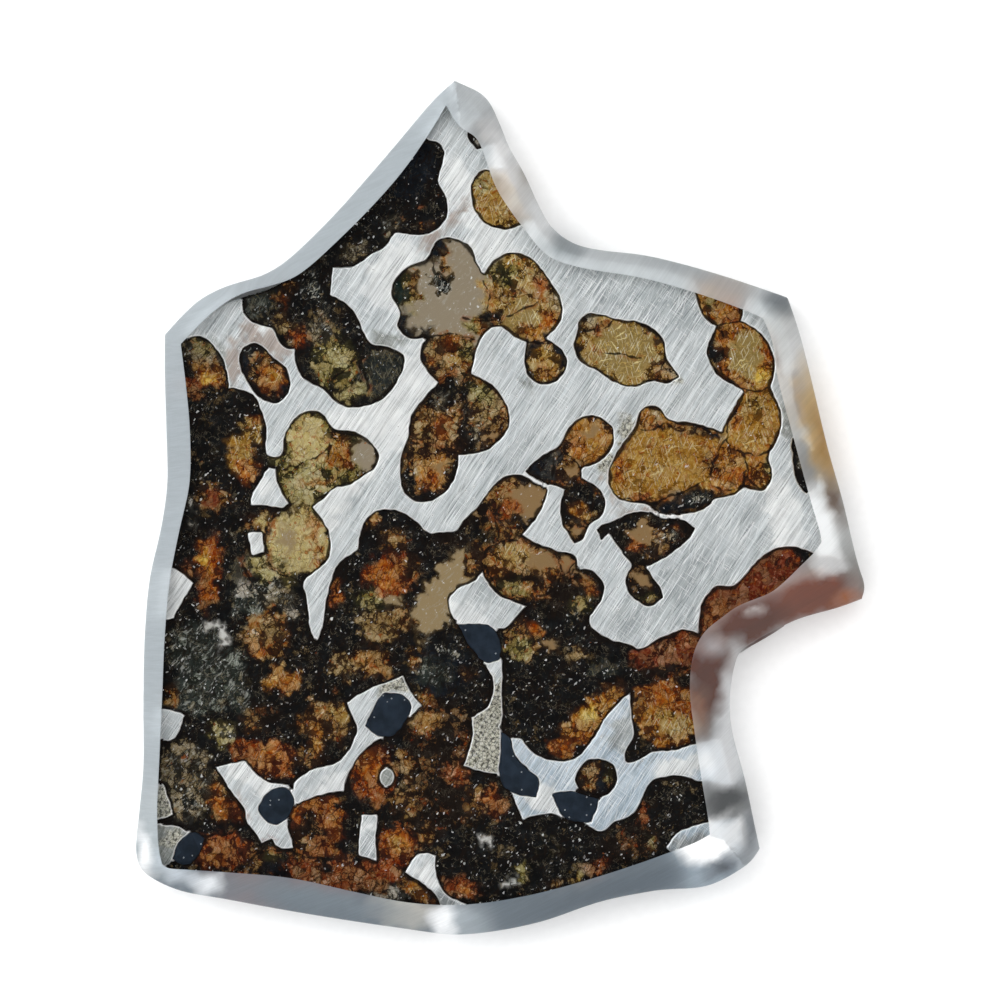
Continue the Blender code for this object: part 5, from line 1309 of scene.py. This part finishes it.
def ground_resin(name, clear):
    """Resin ground with fine lines that run up to the right. Clear is the transmission that is left of it."""
    made, node = new_material(name)
    mm = millimetres(node)
    fine = lines(node, mm, 33, 0.08, 2.4, 0.4, 0.66)
    broad = lines(node, mm, 31, 0.3, 4.0, 0.35, 0.65)
    grit = node("TexNoise", mm, 5.0, 2.0, 0.6, **FLAT_NOISE)
    tone = weighted(node, 0.9, (broad, 0.06), (fine, 0.07), (grit, 0.08))
    # the tint holds the painted see-through, light, shade and reflections of the slopes
    tint_there = node("Attribute", attribute_name="tint").outputs["Color"]
    colour = node("VectorMath", tint_there, {"Scale": tone}, operation="SCALE")
    bump = node("Bump", {"Height": fine, "Strength": 0.3, "Distance": 0.01 * MM})
    surface = node("BsdfPrincipled", {
        "Base Color": colour, "Roughness": 0.5, "IOR": 1.5, "Transmission Weight": clear, "Normal": bump})
    node("OutputMaterial", {"Surface": surface})
    return made


finishes = [polished_resin(), ground_resin("finely_ground_casting_resin", 0.6),
            ground_resin("coarsely_ground_casting_resin", 0.3)]
casting = put_mesh("resin_casting", points, faces, finishes, kinds)
smooth = np.concatenate([~on_face, np.ones(len(walls), bool), np.zeros(len(base), bool)])
casting.data.polygons.foreach_set("use_smooth", smooth)
keep(casting, "tint", tint)
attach(casting, "root")
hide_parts("resin_lower", "resin_upper")

# %% [markdown]
# ## Floor, light and camera
# The block lies on a plain white floor under a soft white sky. Straight above it the sky is dark, as it is where a
# camera and the person behind it stand, so the polished face mirrors no light into the lens and the black grains
# stay black. Two large lamps on the left, a warm one and a cool window, brighten the floor and the slopes.

# %% Set the stage


def floor_material():
    """Matt white paper with hardly seen fibres."""
    made, node = new_material("matt_white_paper")
    fibres = node("TexNoise", millimetres(node), 1.7, 3.0, **FLAT_NOISE)
    colour = node("Mix", fibres, tuple(linear("#F4F4F4")), tuple(linear("#FAFAFA")), **LAY)
    surface = node("BsdfPrincipled", {"Base Color": colour, "Roughness": 0.9, "Specular IOR Level": 0.1})
    node("OutputMaterial", {"Surface": surface})
    return made


def put_lamp(name, location, **settings):
    """An area lamp with these settings, turned so that it shines at the origin."""
    lamp = bpy.data.lights.new(name, "AREA")
    for setting, value in settings.items():
        setattr(lamp, setting, value)
    made = put(name, lamp)
    made.location = location
    made.rotation_euler = (-made.location).to_track_quat("-Z", "Y").to_euler()


FLOOR_HALF, FLOOR_LEVEL = 1500, -0.02
corners = np.array([[-1, -1], [1, -1], [1, 1], [-1, 1]]) * FLOOR_HALF
floor = put_mesh("floor", np.column_stack([corners, np.full(4, FLOOR_LEVEL)]), np.array([[0, 1, 2], [0, 2, 3]]),
                 [floor_material()])

sky = bpy.data.worlds.new("soft_sky")
bpy.context.scene.world = sky
sky.use_nodes = True
sky.node_tree.nodes.clear()
node = partial(add, sky.node_tree)
up = node("SeparateXYZ", node("TexCoord").outputs["Generated"]).outputs["Z"]
level = node("MapRange", up, math.cos(math.radians(17)), math.cos(math.radians(8)), 1.35, 0.03, **RAMP)
node("OutputWorld", {"Surface": node("Background", (1, 1, 1), level)})

put_lamp("upper_left_lamp", (-0.55, 0.45, 0.7), size=0.9, energy=2.6, color=(1.0, 0.99, 0.97))
put_lamp("window_on_the_left", (-0.7, 0.3, 0.42), shape="RECTANGLE", size=0.9, size_y=0.4, energy=4.0,
         color=(0.93, 0.97, 1.0))

CAMERA_HEIGHT, FRAME_WIDTH, SENSOR = 0.5, 70 * MM, 36.0
camera = bpy.data.cameras.new("camera")
camera.sensor_width = SENSOR
camera.lens = SENSOR * CAMERA_HEIGHT / FRAME_WIDTH
camera_object = put("camera", camera)
camera_object.location = (-0.035 * MM, 0.525 * MM, SLICE_HIGH * MM + CAMERA_HEIGHT)
bpy.context.scene.camera = camera_object
bpy.context.scene.view_settings.view_transform = "Standard"
